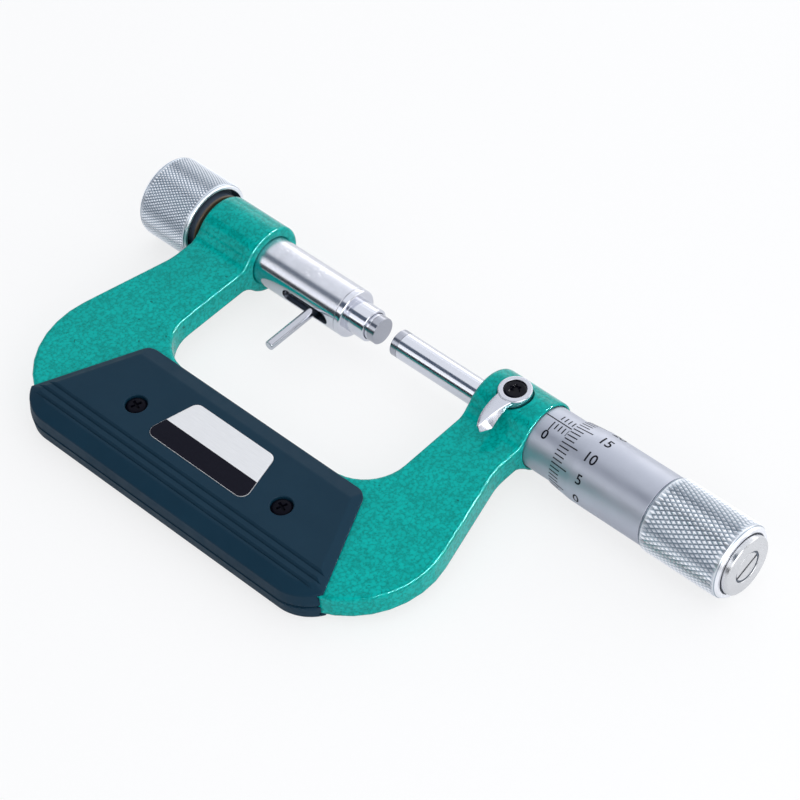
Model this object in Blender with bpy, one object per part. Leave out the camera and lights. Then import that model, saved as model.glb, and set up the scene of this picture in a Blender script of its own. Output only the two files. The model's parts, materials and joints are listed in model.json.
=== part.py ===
"""Indicating micrometer, 0 to 25 mm, with a spring-loaded anvil that a side rod draws back.

The spindle axis is the X axis and points from the anvil to the thimble.
The origin is the centre of the anvil's measuring face.
The flat frame lies in the XY plane, its bow towards -Y, its labelled grip towards +Z.
Sizes below are millimetres; every mesh is written in metres.
The thimble stands at a reading of 4.13 mm.
"""

import math

import bmesh
import bpy
from mathutils import Matrix, Vector

MM = 0.001
SIDES = 40
MEDIUM_SIDES = 32
SMALL_SIDES = 20

# Clearances and seats
FIT = 0.05
RUNNING = 0.10
SEAT = 0.10
GAP = 0.30

# Measuring line
READING = 4.13
THIMBLE_PITCH = 0.5
FREE_GAP = 5.0
RANGE = 25.0
SPINDLE_R = 3.175
CARBIDE_T = 1.85
ANVIL_R = 3.2

# Frame: a cast C with a round boss at the end of each arm
FRAME_T = 6.1
FRAME_EDGE_R = 0.7
THROAT_LEFT = -34.4
THROAT_WIDTH = 66.0
THROAT_DEPTH = 37.3
THROAT_CORNER_R = 10.7
BOW_DEPTH = 65.4
BOW_LEFT_R = 22.5
BOW_RIGHT_R = 21.2
ARM_WIDTH = 16.0
ARM_FLARE_LEFT = 0.242
ARM_FLARE_RIGHT = 0.282
ARM_STRAIGHT = 15.5
ARM_BLEND_R = 16.0
BOSS_LEFT_R = 8.2
BOSS_LEFT_LENGTH = 16.3
BOSS_RIGHT_R = 8.15
BOSS_RIGHT_LENGTH = 16.6
BOSS_EDGE = 0.8
BOSS_NOSE = 1.4

# Anvil side
TUBE_R = 5.8
TUBE_BORE_R = 4.6
TUBE_REACH = 24.7
TUBE_TAIL = 11.4
SLOT_LENGTH = 13.8
SLOT_WIDTH = 3.2
SLOT_TO_TUBE_END = 1.9
FLANGE_T = 1.6
BUSH_R = 3.95
BUSH_NOSE = 5.4
BUSH_TAIL = 1.5
ANVIL_SHOWING = 2.7
ROD_R = 1.05
ROD_REACH = 19.2
ROD_FROM_FACE = 16.4
RETRACT = 6.0
PISTON_LENGTH = 14.8
SPRING_WIRE_R = 0.4
SPRING_TURNS = 9
PLUG_LENGTH = 4.8

# Rear cap
CAP_R = 9.9
CAP_LENGTH = 15.5
CAP_EDGE = 0.6
CAP_NOSE = 1.0
CAP_END_T = 3.0
CAP_MOUTH_R = 8.7
CAP_MOUTH_DEPTH = 3.0
CAP_TO_BOSS = 2.0
RING_R = 7.6
RING_TO_BOSS = 0.9
RING_LENGTH = 11.5

# Graduated sleeve and screw
SLEEVE_R = 7.42
SLEEVE_WALL = 0.62
SLEEVE_ZERO_TO_BOSS = 3.0
SLEEVE_PAST_RANGE = 3.0
SLEEVE_SEAT_DEPTH = 3.0
NUT_SHANK_R = 5.6
NUT_SHANK_LENGTH = 2.9
NUT_THREAD_R = 5.9
NUT_THREAD_LENGTH = 5.3
SCREW_R = 3.6
SCREW_START = 1.2
SCREW_END = 31.7
TAPER_LENGTH = 7.5
TAPER_END_R = 2.6
TAPPED_R = 1.35
TAPPED_DEPTH = 6.0

# Thimble, ratchet sleeve and end cap
THIMBLE_R = 8.33
THIMBLE_EDGE_R = 7.68
THIMBLE_BEVEL = 5.6
THIMBLE_LENGTH = 25.1
THIMBLE_TAIL_R = 7.95
THIMBLE_TAIL = 4.2
THIMBLE_CAVITY = 28.6
THIMBLE_WEB = 3.0
HUB_R = 5.0
RATCHET_R = 8.84
RATCHET_LENGTH = 20.6
RATCHET_EDGE = 0.45
RATCHET_END_R = 8.2
RATCHET_END_CHAMFER = 1.4
RATCHET_BORE_R = 7.3
DISC_R = 7.0
DISC_T = 5.2
DISC_PROUD = 1.4
DISC_EDGE = 0.6
DISC_RECESS_R = 3.75
DISC_RECESS_DEPTH = 1.6
END_SCREW_HEAD_R = 3.35
END_SCREW_HEAD_T = 1.3
END_SCREW_R = 1.25
END_SCREW_LENGTH = 15.0
DRIVER_SLOT = 0.7
DRIVER_SLOT_TURN = -73.0
WAVE_WIRE_R = 0.45
WAVE_TURNS = 4

# Spindle lock
LOCK_TO_ZERO = 11.4
LOCK_HUB_R = 3.75
LOCK_HUB_TOP = 9.5
LOCK_SEAT_Z = 6.3
LOCK_SEAT_R = 4.1
LOCK_PIN_R = 1.9
LOCK_PIN_TOP = 8.0
LOCK_SOCKET_R = 1.5
LOCK_HEAD_R = 2.5
LOCK_HEAD_T = 0.9
LOCK_SHANK_R = 0.8
LEVER_REACH = 11.2

# Grips: two moulded shells screwed to the bow
GRIP_TOP_Z = 4.6
GRIP_EDGE_Z = 3.7
GRIP_INNER_Y = -37.8
GRIP_OUTER_Y = -68.1
GRIP_HALF_WIDTH = 32.4
GRIP_FLARE = 0.47
GRIP_CORNER_R = 2.0
GRIP_NOSE_R = 10.5
GRIP_NOSE_X = 35.4
BEVEL_INNER = 3.6
BEVEL_SIDE = 2.2
BEVEL_OUTER = 3.35
WALL_Z = 3.28
WALL_DRAFT = 0.32
GROOVE_FIRST_Y = -59.75
GROOVE_PITCH = 2.0
GROOVE_COUNT = 3
GROOVE_DEPTH = 0.5
GROOVE_RUN = 0.75
GROOVE_RISE = 0.15
GRIP_SCREW_Y = -52.15
GRIP_SCREW_SPACING = 44.0
RECESS_R = 2.55
RECESS_FLOOR = 1.3
PAD_R = 3.5
PAD_DEPTH = 1.2
PAN_HEAD_R = 2.35
PAN_HEAD_T = 0.95
PAN_SHANK_R = 1.2
PAN_SHANK_LENGTH = 2.9
LABEL_TOP_Y = -43.5
LABEL_BOTTOM_Y = -56.4
LABEL_TOP_HALF = 11.8
LABEL_BOTTOM_HALF = 15.1
LABEL_CORNER_R = 2.0
LABEL_T = 0.35
LABEL_PROUD = 0.08

# Stations along the axis that follow from the sizes above
HALF_T = FRAME_T / 2
THROAT_RIGHT = THROAT_LEFT + THROAT_WIDTH
CENTRE_X = THROAT_LEFT + THROAT_WIDTH / 2
BOSS_LEFT_END = THROAT_LEFT + 0.1
BOSS_LEFT_START = BOSS_LEFT_END - BOSS_LEFT_LENGTH
BOSS_RIGHT_START = THROAT_RIGHT - 0.4
BOSS_RIGHT_END = BOSS_RIGHT_START + BOSS_RIGHT_LENGTH
SLEEVE_ZERO = BOSS_RIGHT_END + SLEEVE_ZERO_TO_BOSS
TUBE_END = THROAT_LEFT + TUBE_REACH
TUBE_START = BOSS_LEFT_START - TUBE_TAIL
FLANGE_END = TUBE_END + SEAT + FLANGE_T
BUSH_END = FLANGE_END + BUSH_NOSE
BUSH_START = TUBE_END - BUSH_TAIL
PISTON_END = BUSH_START - GAP
PISTON_START = PISTON_END - PISTON_LENGTH
ROD_X = -ROD_FROM_FACE
PLUG_START = TUBE_START + SEAT
PLUG_END = PLUG_START + PLUG_LENGTH
CAP_END = BOSS_LEFT_START - CAP_TO_BOSS
CAP_START = CAP_END - CAP_LENGTH
RING_END = BOSS_LEFT_START - RING_TO_BOSS
RING_START = RING_END - RING_LENGTH
SLEEVE_BORE_R = SLEEVE_R - SLEEVE_WALL
NUT_BODY_R = SLEEVE_BORE_R - FIT
SLEEVE_START = BOSS_RIGHT_END - SLEEVE_SEAT_DEPTH + SEAT
SLEEVE_END = SLEEVE_ZERO + RANGE + SLEEVE_PAST_RANGE
NUT_START = SLEEVE_START - NUT_SHANK_LENGTH
NUT_THREAD_END = SLEEVE_END - GAP
NUT_THREAD_START = NUT_THREAD_END - NUT_THREAD_LENGTH
SPINDLE_FACE = FREE_GAP
SPINDLE_START = SPINDLE_FACE + CARBIDE_T + FIT
SCREW_X0 = SLEEVE_ZERO + SCREW_START
SCREW_X1 = SLEEVE_ZERO + SCREW_END
THIMBLE_X = SLEEVE_ZERO + READING
THIMBLE_SHOULDER = THIMBLE_X + THIMBLE_LENGTH
THIMBLE_WALL_X = THIMBLE_X + THIMBLE_CAVITY
THIMBLE_BACK = THIMBLE_WALL_X + THIMBLE_WEB
TAPER_END_X = SCREW_X1 + TAPER_LENGTH
RATCHET_X0 = THIMBLE_SHOULDER + SEAT * 2
RATCHET_X1 = RATCHET_X0 + RATCHET_LENGTH
DISC_X1 = RATCHET_X1 + DISC_PROUD
DISC_X0 = DISC_X1 - DISC_T
HUB_END = DISC_X0 - SEAT
END_HEAD_X0 = DISC_X1 - DISC_RECESS_DEPTH + SEAT
LOCK_X = SLEEVE_ZERO - LOCK_TO_ZERO


def material(name, colour, roughness, metallic):
    """A Principled material of one colour."""
    mat = bpy.data.materials.new(name)
    mat.use_nodes = True
    shader = mat.node_tree.nodes["Principled BSDF"]
    shader.inputs["Base Color"].default_value = (*colour, 1.0)
    shader.inputs["Roughness"].default_value = roughness
    shader.inputs["Metallic"].default_value = metallic
    mat.diffuse_color = (*colour, 1.0)
    return mat


def clear_scene():
    """Remove every object of the file that the script starts from."""
    for obj in list(bpy.data.objects):
        bpy.data.objects.remove(obj, do_unlink=True)


def place(bm, name, mat, origin=(0.0, 0.0, 0.0), sharp=35.0):
    """Turn a bmesh in millimetres into an object in metres with its origin where asked."""
    bmesh.ops.remove_doubles(bm, verts=bm.verts, dist=1e-4)
    bmesh.ops.recalc_face_normals(bm, faces=bm.faces)
    shift = Vector(origin)
    for vert in bm.verts:
        vert.co = (vert.co - shift) * MM
    mesh = bpy.data.meshes.new(name)
    bm.to_mesh(mesh)
    bm.free()
    mesh.shade_smooth()
    mesh.set_sharp_from_angle(angle=math.radians(sharp))
    obj = bpy.data.objects.new(name, mesh)
    obj.location = shift * MM
    if mat is not None:
        mesh.materials.append(mat)
    bpy.context.collection.objects.link(obj)
    return obj


def guide(obj):
    """Mark an object as a cutter or tool body that isn't part of the product."""
    obj.hide_render = True
    obj.display_type = "WIRE"
    return obj


def combine(target, tool, operation):
    """Add a Boolean of the exact kind to the target."""
    guide(tool)
    mod = target.modifiers.new(tool.name, "BOOLEAN")
    mod.operation = operation
    mod.solver = "EXACT"
    mod.object = tool


def cut(target, tool):
    """Cut the tool body out of the target."""
    combine(target, tool, "DIFFERENCE")


def unite(target, tool):
    """Join the tool body to the target."""
    combine(target, tool, "UNION")


def turned_mesh(profile, axis="X", centre=(0.0, 0.0, 0.0), sides=SIDES):
    """Spin a profile of (station, radius) points round the X or Z axis through a centre.

    A profile that starts and ends at radius 0 gives a solid; any other is closed into a ring.
    """
    bm = bmesh.new()
    verts = []
    for station, radius in profile:
        if radius > 0.0:
            point = (station, 0.0, radius) if axis == "X" else (radius, 0.0, station)
            verts.append(bm.verts.new(point))
    edges = [bm.edges.new(pair) for pair in zip(verts, verts[1:])]
    if len(verts) == len(profile):
        edges.append(bm.edges.new((verts[-1], verts[0])))
    spin_axis = (1.0, 0.0, 0.0) if axis == "X" else (0.0, 0.0, 1.0)
    bmesh.ops.spin(
        bm, geom=verts + edges, cent=(0.0, 0.0, 0.0), axis=spin_axis,
        angle=2.0 * math.pi, steps=sides, use_duplicate=False,
    )
    bmesh.ops.remove_doubles(bm, verts=bm.verts, dist=1e-4)
    rims = [edge for edge in bm.edges if edge.is_boundary]
    bmesh.ops.holes_fill(bm, edges=rims, sides=0)
    bmesh.ops.translate(bm, verts=bm.verts, vec=centre)
    return bm


def turned(name, profile, mat, axis="X", centre=(0.0, 0.0, 0.0), sides=SIDES):
    """A turned piece with its origin on its own axis."""
    return place(turned_mesh(profile, axis, centre, sides), name, mat, centre)


def chamfered(start, end, radius, chamfer_start=0.0, chamfer_end=0.0):
    """The outside of a turned piece from start to end, as profile points without the axis."""
    points = []
    if chamfer_start > 0.0:
        points.append((start, radius - chamfer_start))
    points.append((start + chamfer_start, radius))
    points.append((end - chamfer_end, radius))
    if chamfer_end > 0.0:
        points.append((end, radius - chamfer_end))
    return points


def solid(points):
    """Close a turned outside to the axis at both ends."""
    return [(points[0][0], 0.0)] + points + [(points[-1][0], 0.0)]


def ring(points, bore):
    """Close a turned outside with a plain bore of one radius."""
    return points + [(points[-1][0], bore), (points[0][0], bore)]


def prism(name, loop, low, high, mat, turn=None, origin=(0.0, 0.0, 0.0), edge=0.0):
    """Extrude a closed loop of (x, y) points from low to high, with rounded rims if asked."""
    bm = bmesh.new()
    base = [bm.verts.new((x, y, low)) for x, y in loop]
    face = bm.faces.new(base)
    grown = bmesh.ops.extrude_face_region(bm, geom=[face])
    lifted = [item for item in grown["geom"] if isinstance(item, bmesh.types.BMVert)]
    bmesh.ops.translate(bm, verts=lifted, vec=(0.0, 0.0, high - low))
    if edge > 0.0:
        rims = [e for e in bm.edges if abs(e.verts[0].co.z - e.verts[1].co.z) < 1e-6]
        bmesh.ops.recalc_face_normals(bm, faces=bm.faces)
        bmesh.ops.bevel(
            bm, geom=rims, offset=edge, segments=2, profile=0.5,
            affect="EDGES", clamp_overlap=True,
        )
    if turn is not None:
        bmesh.ops.transform(bm, matrix=turn, verts=bm.verts)
    return place(bm, name, mat, origin)


def arc(centre, radius, start, end, steps):
    """Points on an arc, angles in degrees, both ends included."""
    angles = [math.radians(start + (end - start) * k / steps) for k in range(steps + 1)]
    return [(centre[0] + radius * math.cos(a), centre[1] + radius * math.sin(a)) for a in angles]


def rounded(corners, radii, steps=8):
    """Round each corner of a polyline by its own radius; a radius of 0 keeps the corner."""
    count = len(corners)
    points = []
    for i, radius in enumerate(radii):
        here = Vector(corners[i])
        if radius <= 0.0:
            points.append(tuple(here))
            continue
        back = (Vector(corners[(i - 1) % count]) - here).normalized()
        ahead = (Vector(corners[(i + 1) % count]) - here).normalized()
        half = back.angle(ahead) / 2
        start = here + back * (radius / math.tan(half))
        centre = here + (back + ahead).normalized() * (radius / math.sin(half))
        first = math.degrees(math.atan2(start.y - centre.y, start.x - centre.x))
        sweep = 180.0 - math.degrees(2 * half)
        turn = back.x * ahead.y - back.y * ahead.x
        sign = -1.0 if turn > 0.0 else 1.0
        points += arc(centre, radius, first, first + sign * sweep, steps)
    return points


def offset_loop(loop, distance):
    """Move a closed anticlockwise loop outwards by a distance."""
    moved = []
    count = len(loop)
    for i in range(count):
        here = Vector(loop[i])
        before = (here - Vector(loop[i - 1])).normalized()
        after = (Vector(loop[(i + 1) % count]) - here).normalized()
        normal_a = Vector((before.y, -before.x))
        normal_b = Vector((after.y, -after.x))
        middle = (normal_a + normal_b).normalized()
        moved.append(tuple(here + middle * (distance / max(0.3, middle.dot(normal_a)))))
    return moved


def loft(name, rings, mat):
    """Skin closed rings of equally many (x, y, z) points and cap both ends."""
    bm = bmesh.new()
    layers = [[bm.verts.new(point) for point in points] for points in rings]
    count = len(layers[0])
    for lower, upper in zip(layers, layers[1:]):
        for i in range(count):
            j = (i + 1) % count
            bm.faces.new((lower[i], lower[j], upper[j], upper[i]))
    bm.faces.new(list(reversed(layers[0])))
    bm.faces.new(layers[-1])
    return place(bm, name, mat, sharp=25.0)


def coil(name, centre_r, wire_r, start, end, turns, mat, per_turn=12, wire_sides=5):
    """A helical spring on the X axis with nearly flat end coils."""
    bm = bmesh.new()
    closed = 1.0
    pitch_end = 2 * wire_r + 0.15
    inner_run = (end - start) - 2 * closed * pitch_end
    pitch = inner_run / (turns - 2 * closed)
    rings = []
    for k in range(turns * per_turn + 1):
        wound = k / per_turn
        low = min(wound, closed) * pitch_end
        middle = min(max(wound - closed, 0.0), turns - 2 * closed) * pitch
        high = max(wound - (turns - closed), 0.0) * pitch_end
        x = start + low + middle + high
        angle = 2 * math.pi * wound
        out = Vector((0.0, math.cos(angle), math.sin(angle)))
        along = Vector((1.0, 0.0, 0.0))
        centre = Vector((x, 0.0, 0.0)) + out * centre_r
        section = []
        for s in range(wire_sides):
            turn = 2 * math.pi * s / wire_sides
            section.append(bm.verts.new(centre + (out * math.cos(turn) + along * math.sin(turn)) * wire_r))
        rings.append(section)
    for a, b in zip(rings, rings[1:]):
        for s in range(wire_sides):
            t = (s + 1) % wire_sides
            bm.faces.new((a[s], a[t], b[t], b[s]))
    bm.faces.new(rings[0])
    bm.faces.new(list(reversed(rings[-1])))
    return place(bm, name, mat)


def frame_loop():
    """The frame's outline, anticlockwise from the top of the left arm's outer edge."""
    left = THROAT_LEFT - ARM_WIDTH
    right = THROAT_RIGHT + ARM_WIDTH - 0.2
    run = BOW_DEPTH - ARM_STRAIGHT
    outer = [
        (left, 0.0), (left, -ARM_STRAIGHT), (left - run * ARM_FLARE_LEFT, -BOW_DEPTH),
        (right + run * ARM_FLARE_RIGHT, -BOW_DEPTH), (right, -ARM_STRAIGHT), (right, 0.0),
    ]
    inner = [
        (THROAT_RIGHT, 0.0), (THROAT_RIGHT, -THROAT_DEPTH),
        (THROAT_LEFT, -THROAT_DEPTH), (THROAT_LEFT, 0.0),
    ]
    radii = [
        0.0, ARM_BLEND_R, BOW_LEFT_R, BOW_RIGHT_R, ARM_BLEND_R, 0.0,
        0.0, THROAT_CORNER_R, THROAT_CORNER_R, 0.0,
    ]
    return rounded(outer + inner, radii)


def screw_places():
    """The two stations of the grip screws."""
    half = GRIP_SCREW_SPACING / 2
    return [("left", CENTRE_X - half), ("right", CENTRE_X + half)]


def build_frame(enamel):
    """The cast frame: a C-shaped web, two bosses, stepped bores and tapped pockets."""
    frame = prism("frame", frame_loop(), -HALF_T, HALF_T, enamel, edge=FRAME_EDGE_R)
    left = chamfered(BOSS_LEFT_START, BOSS_LEFT_END, BOSS_LEFT_R, BOSS_EDGE, BOSS_EDGE)
    unite(frame, turned("tool_boss_left", solid(left), None))
    nose = [
        (BOSS_RIGHT_START, BOSS_RIGHT_R - BOSS_NOSE),
        (BOSS_RIGHT_START + BOSS_NOSE * 0.3, BOSS_RIGHT_R - BOSS_NOSE * 0.3),
        (BOSS_RIGHT_START + BOSS_NOSE, BOSS_RIGHT_R),
        (BOSS_RIGHT_END - BOSS_EDGE / 2, BOSS_RIGHT_R),
        (BOSS_RIGHT_END, BOSS_RIGHT_R - BOSS_EDGE / 2),
    ]
    unite(frame, turned("tool_boss_right", solid(nose), None))
    tube_bore = [(BOSS_LEFT_START - 1, TUBE_R + FIT), (BOSS_LEFT_END + 1, TUBE_R + FIT)]
    cut(frame, turned("tool_bore_left", solid(tube_bore), None))
    spindle_bore = [
        (BOSS_RIGHT_START - 1, SPINDLE_R + RUNNING), (NUT_START - SEAT, SPINDLE_R + RUNNING),
        (NUT_START - SEAT, NUT_SHANK_R + FIT), (SLEEVE_START - SEAT, NUT_SHANK_R + FIT),
        (SLEEVE_START - SEAT, SLEEVE_R + FIT), (BOSS_RIGHT_END + 1, SLEEVE_R + FIT),
    ]
    cut(frame, turned("tool_bore_right", solid(spindle_bore), None))
    lock_seat = [
        (0.0, LOCK_PIN_R + RUNNING), (LOCK_SEAT_Z, LOCK_PIN_R + RUNNING),
        (LOCK_SEAT_Z, LOCK_SEAT_R), (BOSS_RIGHT_R + 1, LOCK_SEAT_R),
    ]
    seat = turned("tool_lock_seat", solid(lock_seat), None, "Z", (LOCK_X, 0.0, 0.0),
                  MEDIUM_SIDES)
    cut(frame, seat)
    pocket_z = HALF_T - PAD_DEPTH - SEAT
    tapped = PAN_SHANK_R + FIT
    pocket = [
        (-HALF_T - 1, PAD_R + SEAT), (-pocket_z, PAD_R + SEAT), (-pocket_z, tapped),
        (pocket_z, tapped), (pocket_z, PAD_R + SEAT), (HALF_T + 1, PAD_R + SEAT),
    ]
    for side, x in screw_places():
        tool = turned(f"tool_pocket_{side}", solid(pocket), None, "Z", (x, GRIP_SCREW_Y, 0.0), 24)
        cut(frame, tool)
    return frame


def grip_ring(wall_z, edge_z, inner, side, outer):
    """One level of a grip's outline, its edges moved in; the outer wall may lie lower."""
    top = GRIP_INNER_Y - inner
    slant = math.hypot(1.0, GRIP_FLARE)
    half_top = GRIP_HALF_WIDTH + GRIP_FLARE * inner - side * slant
    nose = GRIP_NOSE_R - outer
    nose_y = GRIP_OUTER_Y + GRIP_NOSE_R
    reach = half_top + GRIP_FLARE * top - GRIP_NOSE_X + GRIP_FLARE * -nose_y
    gap = reach / slant
    turn = math.degrees(math.atan2(GRIP_FLARE, 1.0))
    meet = turn - math.degrees(math.acos(min(1.0, gap / nose)))
    steps = 7
    right_nose = arc((GRIP_NOSE_X, nose_y), nose, -90.0, meet, steps)
    corner = (half_top, top)
    far = right_nose[-1]
    upper = rounded([far, corner, (-half_top, top), (-far[0], far[1])],
                    [0.0, GRIP_CORNER_R, GRIP_CORNER_R, 0.0], 4)
    left_nose = [(-x, y) for x, y in reversed(right_nose)]
    loop = right_nose[:-1] + upper + left_nose[1:]
    rise = [wall_z + (edge_z - wall_z) * k / steps for k in range(steps)]
    levels = rise + [edge_z] * (len(loop) - 2 * steps) + rise[::-1]
    return [(CENTRE_X + x, y, z) for (x, y), z in zip(loop, levels)]


def build_grip(name, face, plastic):
    """One grip shell; face is +1 for the labelled side and -1 for the other."""
    rings = [
        grip_ring(GAP / 2 * face, GAP / 2 * face, 0.0, 0.0, 0.0),
        grip_ring(WALL_Z * face, GRIP_EDGE_Z * face, 0.0, 0.0, WALL_DRAFT),
        grip_ring(GRIP_TOP_Z * face, GRIP_TOP_Z * face, BEVEL_INNER, BEVEL_SIDE,
                  WALL_DRAFT + BEVEL_OUTER),
    ]
    grip = loft(name, rings, plastic)
    hollow = prism(f"tool_{name}_hollow", offset_loop(frame_loop(), GAP),
                   -HALF_T - GAP, HALF_T + GAP, None)
    cut(grip, hollow)
    recess_z = GRIP_TOP_Z - RECESS_FLOOR
    for side, x in screw_places():
        centre = (x, GRIP_SCREW_Y, 0.0)
        pad = [(face * (HALF_T - PAD_DEPTH), PAD_R), (face * (GRIP_TOP_Z - 0.3), PAD_R)]
        unite(grip, turned(f"tool_{name}_pad_{side}", solid(pad), None, "Z", centre, 24))
        hole = [
            (0.0, PAN_SHANK_R + FIT), (face * recess_z, PAN_SHANK_R + FIT),
            (face * recess_z, RECESS_R), (face * (GRIP_TOP_Z + 1), RECESS_R),
        ]
        cut(grip, turned(f"tool_{name}_hole_{side}", solid(hole), None, "Z", centre, 24))
    cut(grip, groove_tool(name, face))
    return grip


def groove_tool(name, face):
    """Three saw-tooth grooves along X, long flank towards the bow's outside."""
    bm = bmesh.new()
    reach = GRIP_HALF_WIDTH + 20.0
    above = GRIP_TOP_Z + 0.4
    for k in range(GROOVE_COUNT):
        y = GROOVE_FIRST_Y - GROOVE_PITCH * k
        slope = GROOVE_RUN / GROOVE_DEPTH
        lift = above - GRIP_TOP_Z
        section = [
            (y + GROOVE_RUN + slope * lift, above),
            (y, GRIP_TOP_Z - GROOVE_DEPTH),
            (y - GROOVE_RISE, above),
        ]
        ends = []
        for x in (CENTRE_X - reach, CENTRE_X + reach):
            ends.append([bm.verts.new((x, py, pz * face)) for py, pz in section])
        for i in range(3):
            j = (i + 1) % 3
            bm.faces.new((ends[0][i], ends[0][j], ends[1][j], ends[1][i]))
        bm.faces.new(ends[0])
        bm.faces.new(list(reversed(ends[1])))
    return place(bm, f"tool_{name}_grooves", None)


def label_loop(shrink):
    """The label's trapezoid with rounded corners, drawn in by a margin."""
    corners = [
        (CENTRE_X - LABEL_BOTTOM_HALF, LABEL_BOTTOM_Y), (CENTRE_X + LABEL_BOTTOM_HALF, LABEL_BOTTOM_Y),
        (CENTRE_X + LABEL_TOP_HALF, LABEL_TOP_Y), (CENTRE_X - LABEL_TOP_HALF, LABEL_TOP_Y),
    ]
    return offset_loop(rounded(corners, [LABEL_CORNER_R] * 4, 5), -shrink)


def build_label(grip, paint):
    """The thin range plate in its pocket on the labelled grip."""
    top = GRIP_TOP_Z + LABEL_PROUD
    base = top - LABEL_T
    cut(grip, prism("tool_label_pocket", label_loop(0.0), base - FIT, GRIP_TOP_Z + 1, None))
    prism("range_label", label_loop(FIT), base, top, paint)


def pan_screw(name, x, face, steel):
    """A cross-recess pan screw that holds a grip to the frame."""
    floor = GRIP_TOP_Z - RECESS_FLOOR + FIT
    crown = floor + PAN_HEAD_T
    profile = solid([
        (face * (floor - PAN_SHANK_LENGTH), PAN_SHANK_R - 0.2),
        (face * (floor - PAN_SHANK_LENGTH + 0.2), PAN_SHANK_R),
        (face * floor, PAN_SHANK_R), (face * floor, PAN_HEAD_R),
        (face * (floor + PAN_HEAD_T * 0.55), PAN_HEAD_R),
        (face * (crown - 0.12), PAN_HEAD_R * 0.75), (face * crown, PAN_HEAD_R * 0.4),
    ])
    centre = (x, GRIP_SCREW_Y, 0.0)
    screw = turned(name, profile, steel, "Z", centre, SMALL_SIDES)
    arm = PAN_HEAD_R * 0.55
    wide = PAN_HEAD_R * 0.13
    cross = [
        (-arm, -wide), (-wide, -wide), (-wide, -arm), (wide, -arm), (wide, -wide), (arm, -wide),
        (arm, wide), (wide, wide), (wide, arm), (-wide, arm), (-wide, wide), (-arm, wide),
    ]
    loop = [(x + u, GRIP_SCREW_Y + v) for u, v in cross]
    low, high = sorted((face * (crown - 0.6), face * (crown + 1)))
    cut(screw, prism(f"tool_{name}_cross", loop, low, high, None))


def build_grips(plastic, paint, black):
    """Both grip shells, their four screws and the range plate."""
    front = build_grip("front_grip", 1, plastic)
    build_grip("rear_grip", -1, plastic)
    build_label(front, paint)
    for face, word in ((1, "front"), (-1, "rear")):
        for side, x in screw_places():
            pan_screw(f"{word}_grip_screw_{side}", x, face, black)


def build_anvil_tube(steel):
    """The slotted tube that carries the sliding anvil, pressed through the left boss."""
    outside = chamfered(TUBE_START, TUBE_END, TUBE_R, 0.5, 0.2)
    tube = turned("anvil_tube", ring(outside, TUBE_BORE_R), steel)
    right = TUBE_END - SLOT_TO_TUBE_END
    half = SLOT_WIDTH / 2
    loop = arc((right - half, 0.0), half, -90.0, 90.0, 8)
    loop += arc((right - SLOT_LENGTH + half, 0.0), half, 90.0, 270.0, 8)
    turn = Matrix.Rotation(math.radians(90.0), 4, "X")
    cut(tube, prism("tool_slot", loop, 1.0, TUBE_R + 2.0, None, turn))


def build_anvil(steel, carbide, spring_steel, brass):
    """The guide bush, anvil plunger, carbide tip, draw rod, return spring and its plug."""
    bush = [
        (BUSH_START, TUBE_BORE_R - FIT), (TUBE_END + SEAT, TUBE_BORE_R - FIT),
        (TUBE_END + SEAT, TUBE_R), (FLANGE_END - 0.5, TUBE_R), (FLANGE_END, TUBE_R - 0.5),
        (FLANGE_END, BUSH_R), (BUSH_END - 0.4, BUSH_R), (BUSH_END, BUSH_R - 0.4),
    ]
    turned("guide_bush", ring(bush, ANVIL_R + RUNNING), steel, sides=MEDIUM_SIDES)
    plunger = solid([
        (PISTON_START, TUBE_BORE_R - RUNNING - 0.4), (PISTON_START + 0.4, TUBE_BORE_R - RUNNING),
        (PISTON_END, TUBE_BORE_R - RUNNING), (PISTON_END, ANVIL_R), (-CARBIDE_T - FIT, ANVIL_R),
    ])
    plunger = turned("anvil_plunger", plunger, steel, sides=MEDIUM_SIDES)
    turn = Matrix.Translation((ROD_X, 0.0, 0.0)) @ Matrix.Rotation(math.radians(90.0), 4, "X")
    rod_root = 0.6
    socket = arc((0.0, 0.0), ROD_R + FIT, 0.0, 345.0, 23)
    cut(plunger, prism("tool_rod_socket", socket, rod_root - FIT, TUBE_R + 1.0, None, turn))
    face = chamfered(-CARBIDE_T, 0.0, ANVIL_R, 0.0, 0.15)
    turned("anvil_tip", solid(face), carbide, sides=MEDIUM_SIDES)
    rod = turned_mesh(solid(chamfered(rod_root, ROD_REACH, ROD_R, 0.0, 0.35)), "Z", sides=SMALL_SIDES)
    bmesh.ops.transform(rod, matrix=turn, verts=rod.verts)
    place(rod, "draw_rod", steel, (ROD_X, 0.0, 0.0))
    mean_r = TUBE_BORE_R - RUNNING - SPRING_WIRE_R - 0.6
    inset = SPRING_WIRE_R + SEAT
    coil("anvil_spring", mean_r, SPRING_WIRE_R, PLUG_END + inset, PISTON_START - inset,
         SPRING_TURNS, spring_steel)
    plug_side = chamfered(PLUG_START, PLUG_END, TUBE_BORE_R - FIT, 0.4, 0.3)
    plug = turned("spring_plug", solid(plug_side), brass, sides=MEDIUM_SIDES)
    cut(plug, slot_bar("tool_plug_slot", PLUG_START - 1.0, PLUG_START + 1.2, 0.5, TUBE_BORE_R + 1, 0.0))


def slot_bar(name, low, high, half_width, half_length, turn_deg):
    """A bar across the X axis that cuts a driver slot."""
    loop = [(low, -half_width), (high, -half_width), (high, half_width), (low, half_width)]
    turn = Matrix.Rotation(math.radians(turn_deg), 4, "X")
    return prism(name, loop, -half_length, half_length, None, turn)


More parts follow.
